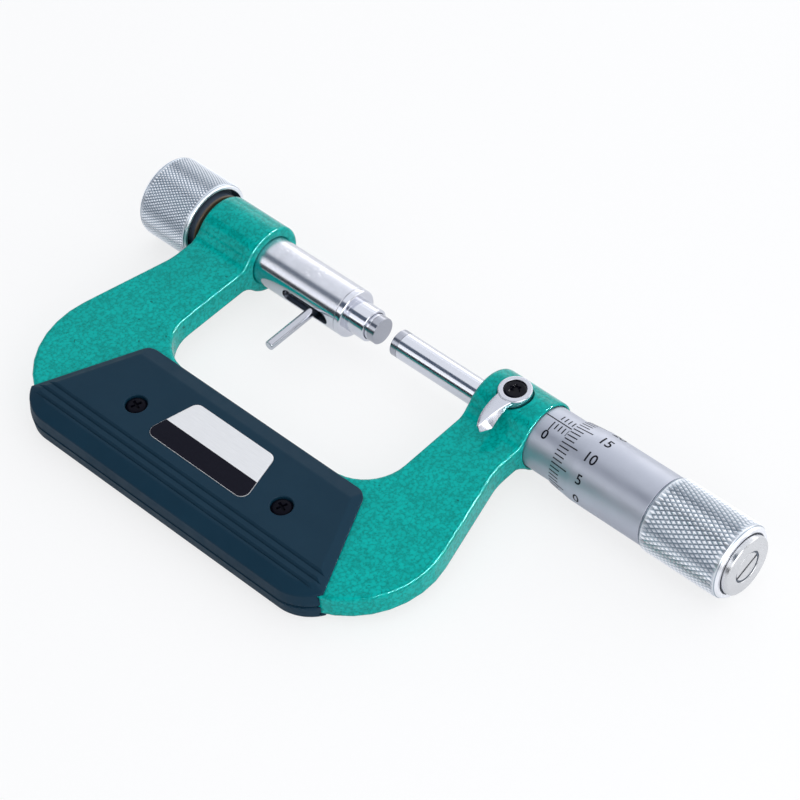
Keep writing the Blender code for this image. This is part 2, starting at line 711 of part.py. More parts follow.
def build_rear_cap(satin, brass):
    """The knurled cap that closes the rear seat, and the brass ring that carries it."""
    outside = [(RING_START, RING_R), (RING_END - 0.4, RING_R), (RING_END, RING_R - 0.4)]
    turned("cap_thread_ring", ring(outside, TUBE_R + RUNNING), brass, sides=MEDIUM_SIDES)
    cavity = CAP_START + CAP_END_T
    profile = [
        (CAP_START, 0.0), (CAP_START, CAP_R - CAP_NOSE),
        (CAP_START + CAP_NOSE * 0.3, CAP_R - CAP_NOSE * 0.3), (CAP_START + CAP_NOSE, CAP_R),
        (CAP_END - CAP_EDGE, CAP_R), (CAP_END, CAP_R - CAP_EDGE),
        (CAP_END, CAP_MOUTH_R), (CAP_END - CAP_MOUTH_DEPTH, CAP_MOUTH_R),
        (CAP_END - CAP_MOUTH_DEPTH, RING_R + FIT), (cavity, RING_R + FIT), (cavity, 0.0),
    ]
    turned("rear_cap", profile, satin)


def build_spindle(steel, carbide):
    """The ground spindle with its measuring screw, thimble taper and carbide tip."""
    profile = solid([
        (SPINDLE_START, SPINDLE_R), (SCREW_X0 - 0.8, SPINDLE_R), (SCREW_X0 - 0.8, SPINDLE_R - 0.4),
        (SCREW_X0, SPINDLE_R - 0.4), (SCREW_X0, SCREW_R), (SCREW_X1, SCREW_R),
        (SCREW_X1, SCREW_R - 0.4), (TAPER_END_X, TAPER_END_R),
    ])
    spindle = turned("spindle", profile, steel, sides=MEDIUM_SIDES)
    tapped = solid([(TAPER_END_X - TAPPED_DEPTH, TAPPED_R), (TAPER_END_X + 1, TAPPED_R)])
    cut(spindle, turned("tool_spindle_tap", tapped, None, sides=SMALL_SIDES))
    tip = chamfered(SPINDLE_FACE, SPINDLE_FACE + CARBIDE_T, SPINDLE_R, 0.15, 0.0)
    turned("spindle_tip", solid(tip), carbide, sides=MEDIUM_SIDES)


def build_sleeve(satin, brass):
    """The graduated sleeve, the threaded guide nut inside it and its adjusting nut."""
    outside = chamfered(SLEEVE_START, SLEEVE_END, SLEEVE_R, 0.0, 0.2)
    turned("graduated_sleeve", ring(outside, SLEEVE_BORE_R), satin)
    nut = [
        (NUT_START, NUT_SHANK_R), (SLEEVE_START, NUT_SHANK_R), (SLEEVE_START, NUT_BODY_R),
        (NUT_THREAD_START, NUT_BODY_R), (NUT_THREAD_START, NUT_THREAD_R), (NUT_THREAD_END, NUT_THREAD_R),
    ]
    turned("guide_nut", ring(nut, SCREW_R + RUNNING), brass, sides=MEDIUM_SIDES)
    collar = chamfered(NUT_THREAD_START + SEAT, NUT_THREAD_END - 0.4, NUT_BODY_R - 0.1, 0.0, 0.3)
    turned("adjusting_nut", ring(collar, NUT_THREAD_R + FIT), brass, sides=MEDIUM_SIDES)


def build_thimble(satin):
    """The bevelled thimble with a web that seats on the spindle's taper."""
    bore = SLEEVE_R + RUNNING
    seat_r = SCREW_R - 0.4 + FIT
    end_r = TAPER_END_R + FIT
    end_x = TAPER_END_X + SEAT
    profile = [
        (THIMBLE_X, THIMBLE_EDGE_R), (THIMBLE_X + THIMBLE_BEVEL, THIMBLE_R),
        (THIMBLE_SHOULDER, THIMBLE_R), (THIMBLE_SHOULDER, THIMBLE_TAIL_R),
        (THIMBLE_SHOULDER + THIMBLE_TAIL, THIMBLE_TAIL_R), (THIMBLE_SHOULDER + THIMBLE_TAIL, HUB_R + 1.0),
        (THIMBLE_BACK, HUB_R + 1.0), (THIMBLE_BACK, HUB_R), (HUB_END, HUB_R),
        (HUB_END, END_SCREW_R + RUNNING), (end_x, END_SCREW_R + RUNNING), (end_x, end_r),
        (SCREW_X1 + SEAT, seat_r), (SCREW_X1 + SEAT, SCREW_R + SEAT),
        (THIMBLE_WALL_X, SCREW_R + SEAT), (THIMBLE_WALL_X, bore), (THIMBLE_X, bore),
    ]
    turned("thimble", profile, satin)


def build_ratchet(satin, spring_steel, disc_steel):
    """The knurled ratchet sleeve, its spring, the end disc and the slotted end screw."""
    step = THIMBLE_SHOULDER + THIMBLE_TAIL + SEAT
    profile = [
        (RATCHET_X0, RATCHET_R - RATCHET_EDGE), (RATCHET_X0 + RATCHET_EDGE, RATCHET_R),
        (RATCHET_X1 - RATCHET_END_CHAMFER, RATCHET_R), (RATCHET_X1, RATCHET_END_R),
        (RATCHET_X1, RATCHET_BORE_R), (step, RATCHET_BORE_R),
        (step, THIMBLE_TAIL_R + RUNNING), (RATCHET_X0, THIMBLE_TAIL_R + RUNNING),
    ]
    turned("ratchet_sleeve", profile, satin)
    inset = WAVE_WIRE_R + SEAT
    coil("ratchet_spring", (HUB_R + RATCHET_BORE_R) / 2, WAVE_WIRE_R, THIMBLE_BACK + inset,
         DISC_X0 - inset, WAVE_TURNS, spring_steel)
    floor = DISC_X1 - DISC_RECESS_DEPTH
    disc = [
        (DISC_X0, DISC_R), (DISC_X1 - DISC_EDGE, DISC_R), (DISC_X1, DISC_R - DISC_EDGE),
        (DISC_X1, DISC_RECESS_R), (floor, DISC_RECESS_R), (floor, END_SCREW_R + RUNNING),
        (DISC_X0, END_SCREW_R + RUNNING),
    ]
    turned("end_disc", disc, disc_steel, sides=MEDIUM_SIDES)
    head_x1 = END_HEAD_X0 + END_SCREW_HEAD_T
    shank_x0 = END_HEAD_X0 - END_SCREW_LENGTH
    screw = solid([
        (shank_x0, END_SCREW_R - 0.3), (shank_x0 + 0.3, END_SCREW_R), (END_HEAD_X0, END_SCREW_R),
        (END_HEAD_X0, END_SCREW_HEAD_R), (head_x1 - 0.15, END_SCREW_HEAD_R),
        (head_x1, END_SCREW_HEAD_R - 0.15),
    ])
    end_screw = turned("end_screw", screw, disc_steel, sides=MEDIUM_SIDES)
    cut(end_screw, slot_bar("tool_driver_slot", head_x1 - 0.7, head_x1 + 1.0,
                            DRIVER_SLOT / 2, END_SCREW_HEAD_R + 1, DRIVER_SLOT_TURN))


def lever_section(t):
    """One section of the horn-shaped lever, t from 0 at the hub to 1 at the tip."""
    y = -LEVER_REACH * (0.18 + 0.82 * t)
    left = LOCK_X - LOCK_HUB_R * (0.61 - 0.24 * t * t)
    ridge = LOCK_X + LOCK_HUB_R * (0.56 - 0.69 * t + 0.08 * t * t)
    right = LOCK_X + LOCK_HUB_R * (0.64 - 0.32 * t)
    drop = LEVER_REACH * 0.14 * t ** 1.3
    under = BOSS_RIGHT_R + 0.2 - LEVER_REACH * 0.196 * t * t
    top = LOCK_HUB_TOP - 0.2 - drop
    return [
        (left, y, under), (right - 0.1, y, under), (right, y, under + 0.3),
        (ridge, y, top + 0.1), (left, y, top),
    ]


def build_lock(nickel, black, steel):
    """The spindle lock: clamp pin in the boss, lever on top, black screw through its hub."""
    centre = (LOCK_X, 0.0, 0.0)
    hub_base = LOCK_SEAT_Z + GAP
    floor = LOCK_HUB_TOP - LOCK_HEAD_T - SEAT
    hub = [
        (hub_base, LOCK_HUB_R), (LOCK_HUB_TOP - 0.35, LOCK_HUB_R), (LOCK_HUB_TOP, LOCK_HUB_R - 0.35),
        (LOCK_HUB_TOP, LOCK_HEAD_R + RUNNING), (floor, LOCK_HEAD_R + RUNNING),
        (floor, LOCK_SHANK_R + RUNNING), (LOCK_PIN_TOP + SEAT, LOCK_SHANK_R + RUNNING),
        (LOCK_PIN_TOP + SEAT, LOCK_SOCKET_R + FIT), (hub_base, LOCK_SOCKET_R + FIT),
    ]
    lever = turned("lock_lever", hub, nickel, "Z", centre, MEDIUM_SIDES)
    steps = 8
    arm = loft("tool_lever_arm", [lever_section(k / steps) for k in range(steps + 1)], None)
    keep_out = [(LOCK_PIN_TOP, LOCK_HEAD_R + RUNNING + 0.3), (LOCK_HUB_TOP + 1, LOCK_HEAD_R + RUNNING + 0.3)]
    cut(arm, turned("tool_hub_clear", solid(keep_out), None, "Z", centre, MEDIUM_SIDES))
    unite(lever, arm)
    pin = solid([
        (SPINDLE_R + RUNNING + 0.1, LOCK_PIN_R), (LOCK_SEAT_Z, LOCK_PIN_R),
        (LOCK_SEAT_Z, LOCK_SOCKET_R), (LOCK_PIN_TOP, LOCK_SOCKET_R),
    ])
    lock_pin = turned("lock_pin", pin, steel, "Z", centre, SMALL_SIDES)
    tapped = solid([(LOCK_PIN_TOP - 2.2, LOCK_SHANK_R + FIT), (LOCK_PIN_TOP + 1, LOCK_SHANK_R + FIT)])
    cut(lock_pin, turned("tool_pin_tap", tapped, None, "Z", centre, 16))
    head = floor + SEAT / 2
    screw = solid([
        (LOCK_PIN_TOP - 2.0, LOCK_SHANK_R), (head, LOCK_SHANK_R), (head, LOCK_HEAD_R),
        (head + LOCK_HEAD_T * 0.7, LOCK_HEAD_R), (head + LOCK_HEAD_T, LOCK_HEAD_R * 0.78),
    ])
    lock_screw = turned("lock_screw", screw, black, "Z", centre, SMALL_SIDES)
    cut(lock_screw, lobe_tool(head + LOCK_HEAD_T))


def lobe_tool(top):
    """A six-lobed driver recess: radius swings six times round the circle."""
    loop = []
    count = 48
    for k in range(count):
        angle = 2 * math.pi * k / count
        radius = LOCK_HEAD_R * (0.47 + 0.09 * math.cos(6 * angle))
        loop.append((LOCK_X + radius * math.cos(angle), radius * math.sin(angle)))
    return prism("tool_lobes", loop, top - 0.6, top + 1.0, None)


def build():
    """Model the whole micrometer."""
    clear_scene()
    enamel = material("teal_hammer_enamel", (0.012, 0.36, 0.32), 0.35, 0.1)
    plastic = material("navy_plastic", (0.016, 0.042, 0.075), 0.5, 0.0)
    paint = material("label_white", (0.75, 0.75, 0.77), 0.4, 0.3)
    black = material("black_oxide", (0.008, 0.006, 0.012), 0.35, 0.6)
    satin = material("satin_chrome", (0.72, 0.72, 0.78), 0.32, 1.0)
    steel = material("ground_steel", (0.62, 0.62, 0.66), 0.16, 1.0)
    carbide = material("carbide", (0.32, 0.34, 0.37), 0.25, 1.0)
    spring_steel = material("spring_steel", (0.35, 0.36, 0.38), 0.3, 1.0)
    brass = material("brass", (0.45, 0.3, 0.12), 0.35, 1.0)
    nickel = material("satin_nickel", (0.66, 0.66, 0.7), 0.3, 1.0)
    disc_steel = material("disc_steel", (0.68, 0.69, 0.68), 0.28, 1.0)
    build_frame(enamel)
    build_grips(plastic, paint, black)
    build_anvil_tube(steel)
    build_anvil(steel, carbide, spring_steel, brass)
    build_rear_cap(satin, brass)
    build_spindle(steel, carbide)
    build_sleeve(satin, brass)
    build_thimble(satin)
    build_ratchet(satin, spring_steel, disc_steel)
    build_lock(nickel, black, steel)


build()
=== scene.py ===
# %% [markdown]
# Outside micrometer with a spring-loaded anvil
#
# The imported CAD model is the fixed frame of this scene. It already has every piece in its
# place, so this script gives the pieces their fine shapes and their finishes. Lengths are
# written in millimetres, in the model's own directions: X runs along the spindle towards the
# thimble, the bow hangs towards minus Y, and the labelled side looks up along Z.

import json
import math

import bmesh
import bpy
import numpy as np
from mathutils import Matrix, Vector


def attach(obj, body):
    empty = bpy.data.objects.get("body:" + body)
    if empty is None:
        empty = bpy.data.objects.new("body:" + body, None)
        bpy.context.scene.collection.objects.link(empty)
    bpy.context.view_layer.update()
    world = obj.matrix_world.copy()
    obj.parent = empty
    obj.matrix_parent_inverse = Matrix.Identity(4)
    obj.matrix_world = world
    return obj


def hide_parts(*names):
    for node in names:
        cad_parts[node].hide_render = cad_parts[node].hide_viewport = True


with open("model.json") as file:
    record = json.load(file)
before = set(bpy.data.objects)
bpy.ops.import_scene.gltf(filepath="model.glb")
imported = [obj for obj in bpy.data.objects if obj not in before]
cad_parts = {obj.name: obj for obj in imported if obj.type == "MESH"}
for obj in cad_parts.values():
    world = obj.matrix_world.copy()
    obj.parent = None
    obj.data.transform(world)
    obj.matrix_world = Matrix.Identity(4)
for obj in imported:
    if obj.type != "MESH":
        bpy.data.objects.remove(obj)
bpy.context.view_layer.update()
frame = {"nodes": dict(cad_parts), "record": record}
MM = 0.001
print("pieces in the packed model:", len(frame["nodes"]))

# %% [markdown]
# Every node rides on a body and takes its finish from a slot of the record. A new piece that
# stands for a node rides on the node's body, so the bodies are looked up once, by the node's name.

# %% Bodies by node
body_of = {}
for body, members in frame["record"]["behaviour"]["bodies"].items():
    for member in members:
        body_of[member] = body


def stand_for(piece, node):
    """The piece rides with the node's body and hides the node."""
    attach(piece, body_of[node])
    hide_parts(node)
    return piece


def ride_on(piece, body):
    """A piece with no node of its own: it only rides on a body."""
    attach(piece, body)
    return piece


print("bodies:", sorted(set(body_of.values())))

# %% [markdown]
# Camera, lamps, studio sheets and pieces all enter the scene in the same way. A few sizes are
# needed in more than one cell, so they stand here. Round pieces lie about the X axis, and a
# place along it is called a station.

# %% Object helper and shared sizes
CAP_R = 9.9
CAP_KNURL = 0.30
RATCHET_R = 8.84
RATCHET_KNURL = 0.36
GRIP_TOP = 4.6
SLEEVE_R = 7.42
THIMBLE_R = 8.33
BEVEL_START = (54.93, 7.68)
BEVEL_END = (60.53, THIMBLE_R)
LOCK_X = 39.4


def put_in_scene(name, data):
    """A new object with this data, linked to the scene."""
    thing = bpy.data.objects.new(name, data)
    bpy.context.scene.collection.objects.link(thing)
    return thing


print("thimble's bevel:", BEVEL_START, BEVEL_END)

# %% [markdown]
# The photograph was taken from high over the thimble's side with a long lens. The place and
# the angles below come from the known shape of the object, so a long lens far away keeps the
# picture's mild perspective.

# %% Camera
EYE = (335.27, -307.01, 488.48)
EYE_ANGLES = (41.489, 3.726, 43.025)
LENS = 136.53
SENSOR = 36.0

camera_data = bpy.data.cameras.new("camera")
camera_data.lens = LENS
camera_data.sensor_width = SENSOR
camera_data.clip_start = 0.02
camera_data.clip_end = 20.0
camera = put_in_scene("camera", camera_data)
camera.location = [c * MM for c in EYE]
camera.rotation_euler = [math.radians(a) for a in EYE_ANGLES]
bpy.context.scene.camera = camera
bpy.context.scene.view_settings.view_transform = "Standard"
print("camera lens", LENS, "mm at", EYE)

# %% [markdown]
# A finish is a Principled shader and a few nodes in front of it. Wiring nodes one by one takes
# many lines, so a small class holds one material and adds nodes to it. All patterns are placed
# by object coordinates, so they stay on the piece when it moves.

# %% Finish helper


class Finish:
    """One material while its nodes are being wired."""

    def __init__(self, name, color=(0.8, 0.8, 0.8), metallic=0.0, roughness=0.5, **sockets):
        self.material = bpy.data.materials.new(name)
        self.material.use_nodes = True
        self.tree = self.material.node_tree
        self.shader = self.tree.nodes["Principled BSDF"]
        self.set("Base Color", (*color, 1.0))
        self.set("Metallic", metallic)
        self.set("Roughness", roughness)
        for socket, value in sockets.items():
            self.set(socket.replace("_", " "), value)
        self.place = self.add("ShaderNodeTexCoord").outputs["Object"]

    def set(self, socket, value):
        """Sets one of the shader's own sockets."""
        self.shader.inputs[socket].default_value = value

    def add(self, kind, settings=None, **inputs):
        """A node with its settings; an input is a number, a tuple or another node's output."""
        node = self.tree.nodes.new(kind)
        for key, value in (settings or {}).items():
            setattr(node, key, value)
        for socket, value in inputs.items():
            self.feed(node.inputs[socket.replace("_", " ")], value)
        return node

    def feed(self, socket, value):
        """Links another node's output to a socket, or writes a plain value into it."""
        if isinstance(value, bpy.types.NodeSocket):
            self.tree.links.new(value, socket)
        else:
            socket.default_value = value

    def stretched(self, x, y, z):
        """Object coordinates, multiplied by x, y and z: a small number draws the pattern long."""
        return self.add("ShaderNodeMapping", Vector=self.place, Scale=(x, y, z)).outputs[0]

    def noise(self, size, detail=3.0, roughness=0.55, place=None):
        """Noise with blobs of about this size in millimetres, from 0 to 1."""
        node = self.add("ShaderNodeTexNoise", Scale=1.0 / (size * MM), Detail=detail,
                        Roughness=roughness, Vector=place or self.place)
        return node.outputs["Fac"]

    def lines(self, size=0.05, axis="X"):
        """Fine lines round an axis, about this many millimetres apart, from 0 to 1."""
        stretch = [1.0 if letter == axis else 0.02 for letter in "XYZ"]
        return self.noise(size, place=self.stretched(*stretch))

    def coordinate(self, letter):
        """The X, Y or Z of a place on the object, in metres."""
        return self.add("ShaderNodeSeparateXYZ", Vector=self.place).outputs[letter]

    def between(self, value, low, high, start=0.0, end=1.0):
        """Maps low to start and high to end, and holds the ends."""
        node = self.add("ShaderNodeMapRange", Value=value)
        for socket, number in (("From Min", low), ("From Max", high), ("To Min", start), ("To Max", end)):
            node.inputs[socket].default_value = number
        return node.outputs[0]

    def calc(self, operation, a, b=0.0):
        """One step of arithmetic; an operation on one value ignores b."""
        node = self.add("ShaderNodeMath", {"operation": operation})
        self.feed(node.inputs[0], a)
        self.feed(node.inputs[1], b)
        return node.outputs[0]

    def times(self, a, b):
        """Both values multiplied."""
        return self.calc("MULTIPLY", a, b)

    def blend(self, factor, a, b):
        """Colour a where the factor is 0 and colour b where it is 1."""
        node = self.add("ShaderNodeMix", {"data_type": "RGBA"})
        self.feed(node.inputs[0], factor)
        self.feed(node.inputs[6], (*a, 1.0) if isinstance(a, tuple) else a)
        self.feed(node.inputs[7], (*b, 1.0) if isinstance(b, tuple) else b)
        return node.outputs[2]

    def color(self, output):
        """The base colour comes from this output."""
        self.feed(self.shader.inputs["Base Color"], output)

    def roughness(self, output):
        """The roughness comes from this output."""
        self.feed(self.shader.inputs["Roughness"], output)

    def vary_roughness(self, factor, low, high):
        """Roughness that wanders between two values with a noise, whose middle part counts."""
        self.roughness(self.between(factor, 0.3, 0.7, low, high))

    def bump(self, height, depth, strength=1.0):
        """Bump whose height of 0 to 1 stands for a depth in millimetres."""
        node = self.add("ShaderNodeBump", Height=height, Distance=depth * MM, Strength=strength)
        last = self.shader.inputs["Normal"]
        if last.is_linked:
            self.feed(node.inputs["Normal"], last.links[0].from_socket)
        self.feed(last, node.outputs[0])


def shade(color, *shares):
    """A colour multiplied by one share, or by one share for each channel."""
    return tuple(c * share for c, share in zip(color, shares * 3 if len(shares) == 1 else shares))


print("finish helper ready")

# %% [markdown]
# The floor is white paper: the camera sees it as white, mirrors see part of it as white, and
# the rest stays a real surface, so that the object keeps its shadow. The micrometer stands on
# its cap, its knurled sleeve and the rear grip, so the floor leans a little against the
# model's own directions. Each rest below is (place, depth under the axis): a station for the
# two round pieces, and a place along Y for the grip.

# %% Floor
FLOOR_SIZE = 3000.0
CAP_REST = (-60.0, CAP_R)
SLEEVE_REST = (92.0, RATCHET_R)
GRIP_REST = (-64.4, GRIP_TOP)
PAPER_SHARE = 0.25
MIRRORED_SHARE = 0.35

lean_x = (SLEEVE_REST[1] - CAP_REST[1]) / (SLEEVE_REST[0] - CAP_REST[0])
depth_at_zero = CAP_REST[1] - lean_x * CAP_REST[0]
lean_y = (depth_at_zero - GRIP_REST[1]) / GRIP_REST[0]


def floor_height(x, y):
    """The leaning floor passes under the cap, the knurled sleeve and the rear grip."""
    return lean_y * y - (depth_at_zero + lean_x * x) * math.hypot(1.0, lean_y)


def studio_sheet(name, corners, finish):
    """A flat sheet between four corners, which belongs to the studio and not to the part."""
    mesh = bpy.data.meshes.new(name)
    mesh.from_pydata([tuple(c * MM for c in corner) for corner in corners], [], [(0, 1, 2, 3)])
    mesh.materials.append(finish)
    sheet = put_in_scene(name, mesh)
    return sheet


def paper_finish():
    """White paper: white to the camera and to mirrors, with a share left that takes shadows."""
    paper = Finish("white_paper", color=(0.86, 0.86, 0.87), roughness=0.9)
    grain = paper.noise(1.2)
    paper.color(paper.blend(grain, (0.88, 0.88, 0.89), (0.91, 0.91, 0.92)))
    rays = paper.add("ShaderNodeLightPath")
    mirrored = paper.times(rays.outputs["Is Glossy Ray"], MIRRORED_SHARE)
    seen = paper.calc("MAXIMUM", rays.outputs["Is Camera Ray"], mirrored)
    seen = paper.calc("MAXIMUM", seen, rays.outputs["Is Transmission Ray"])
    white = paper.add("ShaderNodeEmission", Color=(1.0, 1.0, 1.0, 1.0), Strength=1.0)
    mix = paper.add("ShaderNodeMixShader")
    paper.feed(mix.inputs[0], paper.times(seen, 1.0 - PAPER_SHARE))
    paper.feed(mix.inputs[1], paper.shader.outputs[0])
    paper.feed(mix.inputs[2], white.outputs[0])
    out = paper.tree.nodes["Material Output"]
    paper.feed(out.inputs["Surface"], mix.outputs[0])
    return paper.material


floor_corners = []
for u, v in ((-1, -1), (1, -1), (1, 1), (-1, 1)):
    x, y = u * FLOOR_SIZE, v * FLOOR_SIZE
    floor_corners.append((x, y, floor_height(x, y)))
studio_sheet("floor", floor_corners, paper_finish())
print("floor leans", round(math.degrees(math.atan(lean_y)), 2), "degrees")

# %% [markdown]
# Small metal parts look like metal only when they have something to mirror. The room is white
# near the ground and darker overhead, as a studio is, and soft boxes hang in it. Three long
# ones lie beside the X axis, one stands at the thimble's side, and a black card that the
# camera doesn't see gives polished steel its dark band. The last lamp shows in gloss alone,
# where rounded edges mirror it as fine white lines; the lock lever's cell says which pieces it
# reaches. A picture of a room wrapped round the scene would light the part too, but lamps can
# be moved one by one, until each highlight lies where the photograph has it.

# %% Room and lamps
LAMP_WATTS = math.pi
STRIP_LENGTH = 1500.0
STRIP_DISTANCE = 620.0
STRIP_X = 10.0
LAMP_AIM = Vector((0.0, -20.0, 0.0))
OVERHEAD = (0.09, 0.12, 0.17)
WHITE_UP_TO = 0.25
DARK_FROM = 0.50
FLAG_Y = -430.0
FLAG_LENGTH = 1700.0
FLAG_HEIGHTS = (2.0, 175.0)


def room():
    """World that is white up to one height of gaze and darker overhead."""
    world = bpy.data.worlds.new("room")
    bpy.context.scene.world = world
    world.use_nodes = True
    tree = world.node_tree
    gaze = tree.nodes.new("ShaderNodeTexCoord")
    parts = tree.nodes.new("ShaderNodeSeparateXYZ")
    tree.links.new(gaze.outputs["Generated"], parts.inputs[0])
    span = tree.nodes.new("ShaderNodeMapRange")
    span.interpolation_type = "SMOOTHSTEP"
    tree.links.new(parts.outputs["Z"], span.inputs["Value"])
    span.inputs["From Min"].default_value = WHITE_UP_TO
    span.inputs["From Max"].default_value = DARK_FROM
    mix = tree.nodes.new("ShaderNodeMix")
    mix.data_type = "RGBA"
    tree.links.new(span.outputs[0], mix.inputs[0])
    mix.inputs[6].default_value = (1.0, 1.0, 1.0, 1.0)
    mix.inputs[7].default_value = (*OVERHEAD, 1.0)
    back = tree.nodes["Background"]
    tree.links.new(mix.outputs[2], back.inputs["Color"])
    back.inputs["Strength"].default_value = 1.0


def area_lamp(name, width, height, radiance):
    """A flat lamp that shines as brightly as its radiance says; 1 is white."""
    lamp = bpy.data.lights.new(name, "AREA")
    lamp.shape = "RECTANGLE"
    lamp.size = width * MM
    lamp.size_y = height * MM
    lamp.energy = radiance * LAMP_WATTS * lamp.size * lamp.size_y
    return put_in_scene(name, lamp)


def soft_strip(name, turn, width, radiance):
    """A long lamp beside the X axis: turn is its place in degrees round the axis, from the
    top towards -Y, and width is how many degrees it covers."""
    across = 2 * STRIP_DISTANCE * math.tan(math.radians(width / 2))
    strip = area_lamp(name, STRIP_LENGTH, across, radiance)
    angle = math.radians(turn)
    strip.location = (STRIP_X * MM, -math.sin(angle) * STRIP_DISTANCE * MM,
                      math.cos(angle) * STRIP_DISTANCE * MM)
    strip.rotation_euler = (angle, 0.0, 0.0)


def side_lamp(name, place, size, radiance):
    """A lamp of (width, height) at a place, turned to the part."""
    lamp = area_lamp(name, *size, radiance)
    lamp.location = Vector(place) * MM
    lamp.rotation_euler = (LAMP_AIM - Vector(place)).to_track_quat("-Z", "Y").to_euler()
    return lamp


room()
soft_strip("strip_back", -64.0, 44.0, 1.00)
soft_strip("strip_top", -14.0, 58.0, 0.90)
soft_strip("strip_front", 54.0, 26.0, 1.15)
side_lamp("side_right", (548.0, -147.0, 296.0), (520.0, 360.0), 2.6)
glint_lamp = side_lamp("glint_right", (556.0, 98.0, 300.0), (1500.0, 70.0), 300.0)
glint_lamp.visible_diffuse = False

black_card = Finish("flag_front", (0.01, 0.012, 0.018), roughness=0.9)
card_low, card_high = FLAG_HEIGHTS
flag = studio_sheet("flag_front", [
    (-FLAG_LENGTH / 2, FLAG_Y, card_low), (FLAG_LENGTH / 2, FLAG_Y, card_low),
    (FLAG_LENGTH / 2, FLAG_Y, card_high), (-FLAG_LENGTH / 2, FLAG_Y, card_high)], black_card.material)
flag.visible_camera = False
print("lamps: 5")

# %% [markdown]
# Meshes from whole arrays. A surface is a grid of points, rows by columns, and each four
# neighbours make a face. Where a grid closes on itself its last column joins the first, and a
# row whose points all fall on one spot becomes a pole. The Screw modifier can turn a profile
# as well, but with arrays a knurl or a screw's recess is only one more formula for the radius.

# %% Mesh helpers
CLOSE = 1.0e-4
CREASE = 35.0
HOLD = 0.25
AXES = {"X": (0, 1, 2), "Y": (2, 0, 1), "Z": (1, 2, 0)}


def mesh_piece(name, points, faces, finish, crease=CREASE):
    """Points in millimetres and lists of equal-sided faces become one closed, smooth piece."""
    faces = [np.asarray(group) for group in faces]
    corners = np.concatenate([group.ravel() for group in faces])
    sides = np.concatenate([np.full(len(group), group.shape[1]) for group in faces])
    mesh = bpy.data.meshes.new(name)
    mesh.vertices.add(len(points))
    mesh.vertices.foreach_set("co", (np.asarray(points, float) * MM).ravel())
    mesh.loops.add(len(corners))
    mesh.loops.foreach_set("vertex_index", corners)
    mesh.polygons.add(len(sides))
    mesh.polygons.foreach_set("loop_start", np.concatenate([[0], np.cumsum(sides)[:-1]]))
    mesh.update(calc_edges=True)
    tidy = bmesh.new()
    tidy.from_mesh(mesh)
    bmesh.ops.remove_doubles(tidy, verts=tidy.verts, dist=CLOSE * MM)
    bmesh.ops.recalc_face_normals(tidy, faces=tidy.faces)
    tidy.to_mesh(mesh)
    tidy.free()
    return dress(put_in_scene(name, mesh), finish, crease)


def dress(piece, finish, crease=CREASE):
    """Smooth faces with sharp edges where the surface turns by more than the crease angle."""
    mesh = piece.data
    mesh.materials.clear()
    mesh.materials.append(finish)
    mesh.polygons.foreach_set("use_smooth", np.full(len(mesh.polygons), True))
    mesh.set_sharp_from_angle(angle=math.radians(crease))
    return piece


def grid_faces(rows, columns, closed_rows=False):
    """Faces of a grid: each joins a point, its right neighbour and the two in the next row."""
    i = np.arange(rows if closed_rows else rows - 1)[:, None]
    j = np.arange(columns)[None, :]
    down = (i + 1) % rows
    right = (j + 1) % columns
    return np.stack([i * columns + j, i * columns + right, down * columns + right,
                     down * columns + j], -1).reshape(-1, 4)


def corner_arc(here, before, after, rounding, steps, hold):
    """The arc in a corner, whose neighbours lie in the directions before and after.

    It is swung between its two ends as (sin((1 - s) w) a + sin(s w) b) / sin(w). With hold, a
    point beside either end keeps the shading of the long straights flat."""
    half = math.acos(np.clip(before @ after, -1.0, 1.0)) / 2
    reach = rounding / math.tan(half)
    centre = here + (before + after) / np.hypot(*(before + after)) * rounding / math.sin(half)
    first = here + before * reach - centre
    last = here + after * reach - centre
    sweep = math.pi - 2 * half
    arc = []
    for s in range(steps + 1):
        share = s / steps
        swing = math.sin((1 - share) * sweep) * first + math.sin(share * sweep) * last
        arc.append(centre + swing / math.sin(sweep))
    if hold:
        arc.insert(0, here + before * (reach + rounding * hold))
        arc.append(here + after * (reach + rounding * hold))
    return arc


def eased(corners, steps=5, hold=HOLD):
    """A line through corners of (x, y, rounding), where each rounded corner is a short arc."""
    points = []
    for k, corner in enumerate(corners):
        here = np.array(corner[:2], float)
        rounding = corner[2] if len(corner) > 2 else 0.0
        if rounding <= 0.0:
            points.append(here)
            continue
        before = np.array(corners[k - 1][:2], float) - here
        after = np.array(corners[(k + 1) % len(corners)][:2], float) - here
        before /= np.hypot(*before)
        after /= np.hypot(*after)
        points += corner_arc(here, before, after, rounding, steps, hold)
    return np.array(points)


def corner_arcs(corners, steps=10):
    """A closed outline of (x, y, rounding) whose rounded corners are short arcs."""
    return eased(corners, steps, hold=0.0)


def turned(name, profile, finish, sides=160, closed=False, axis="X", centre=(0, 0, 0)):
    """A lathe-turned piece: each profile point keeps its station, and its radius goes round with
    cosine and sine. A closed profile is a ring with a bore; an open one ends on the axis."""
    station, radius = eased(profile).T
    angle = np.arange(sides) * 2 * math.pi / sides
    local = [station[:, None] + 0 * angle, radius[:, None] * np.cos(angle),
             radius[:, None] * np.sin(angle)]
    points = np.stack([local[k] for k in AXES[axis]], -1) + np.array(centre, float)
    faces = grid_faces(len(station), sides, closed_rows=closed)
    return mesh_piece(name, points.reshape(-1, 3), [faces], finish)


def turned_node(node, name, profile, finish, **options):
    """A turned piece that stands for a node of the model."""
    return stand_for(turned(name, profile, finish, **options), node)


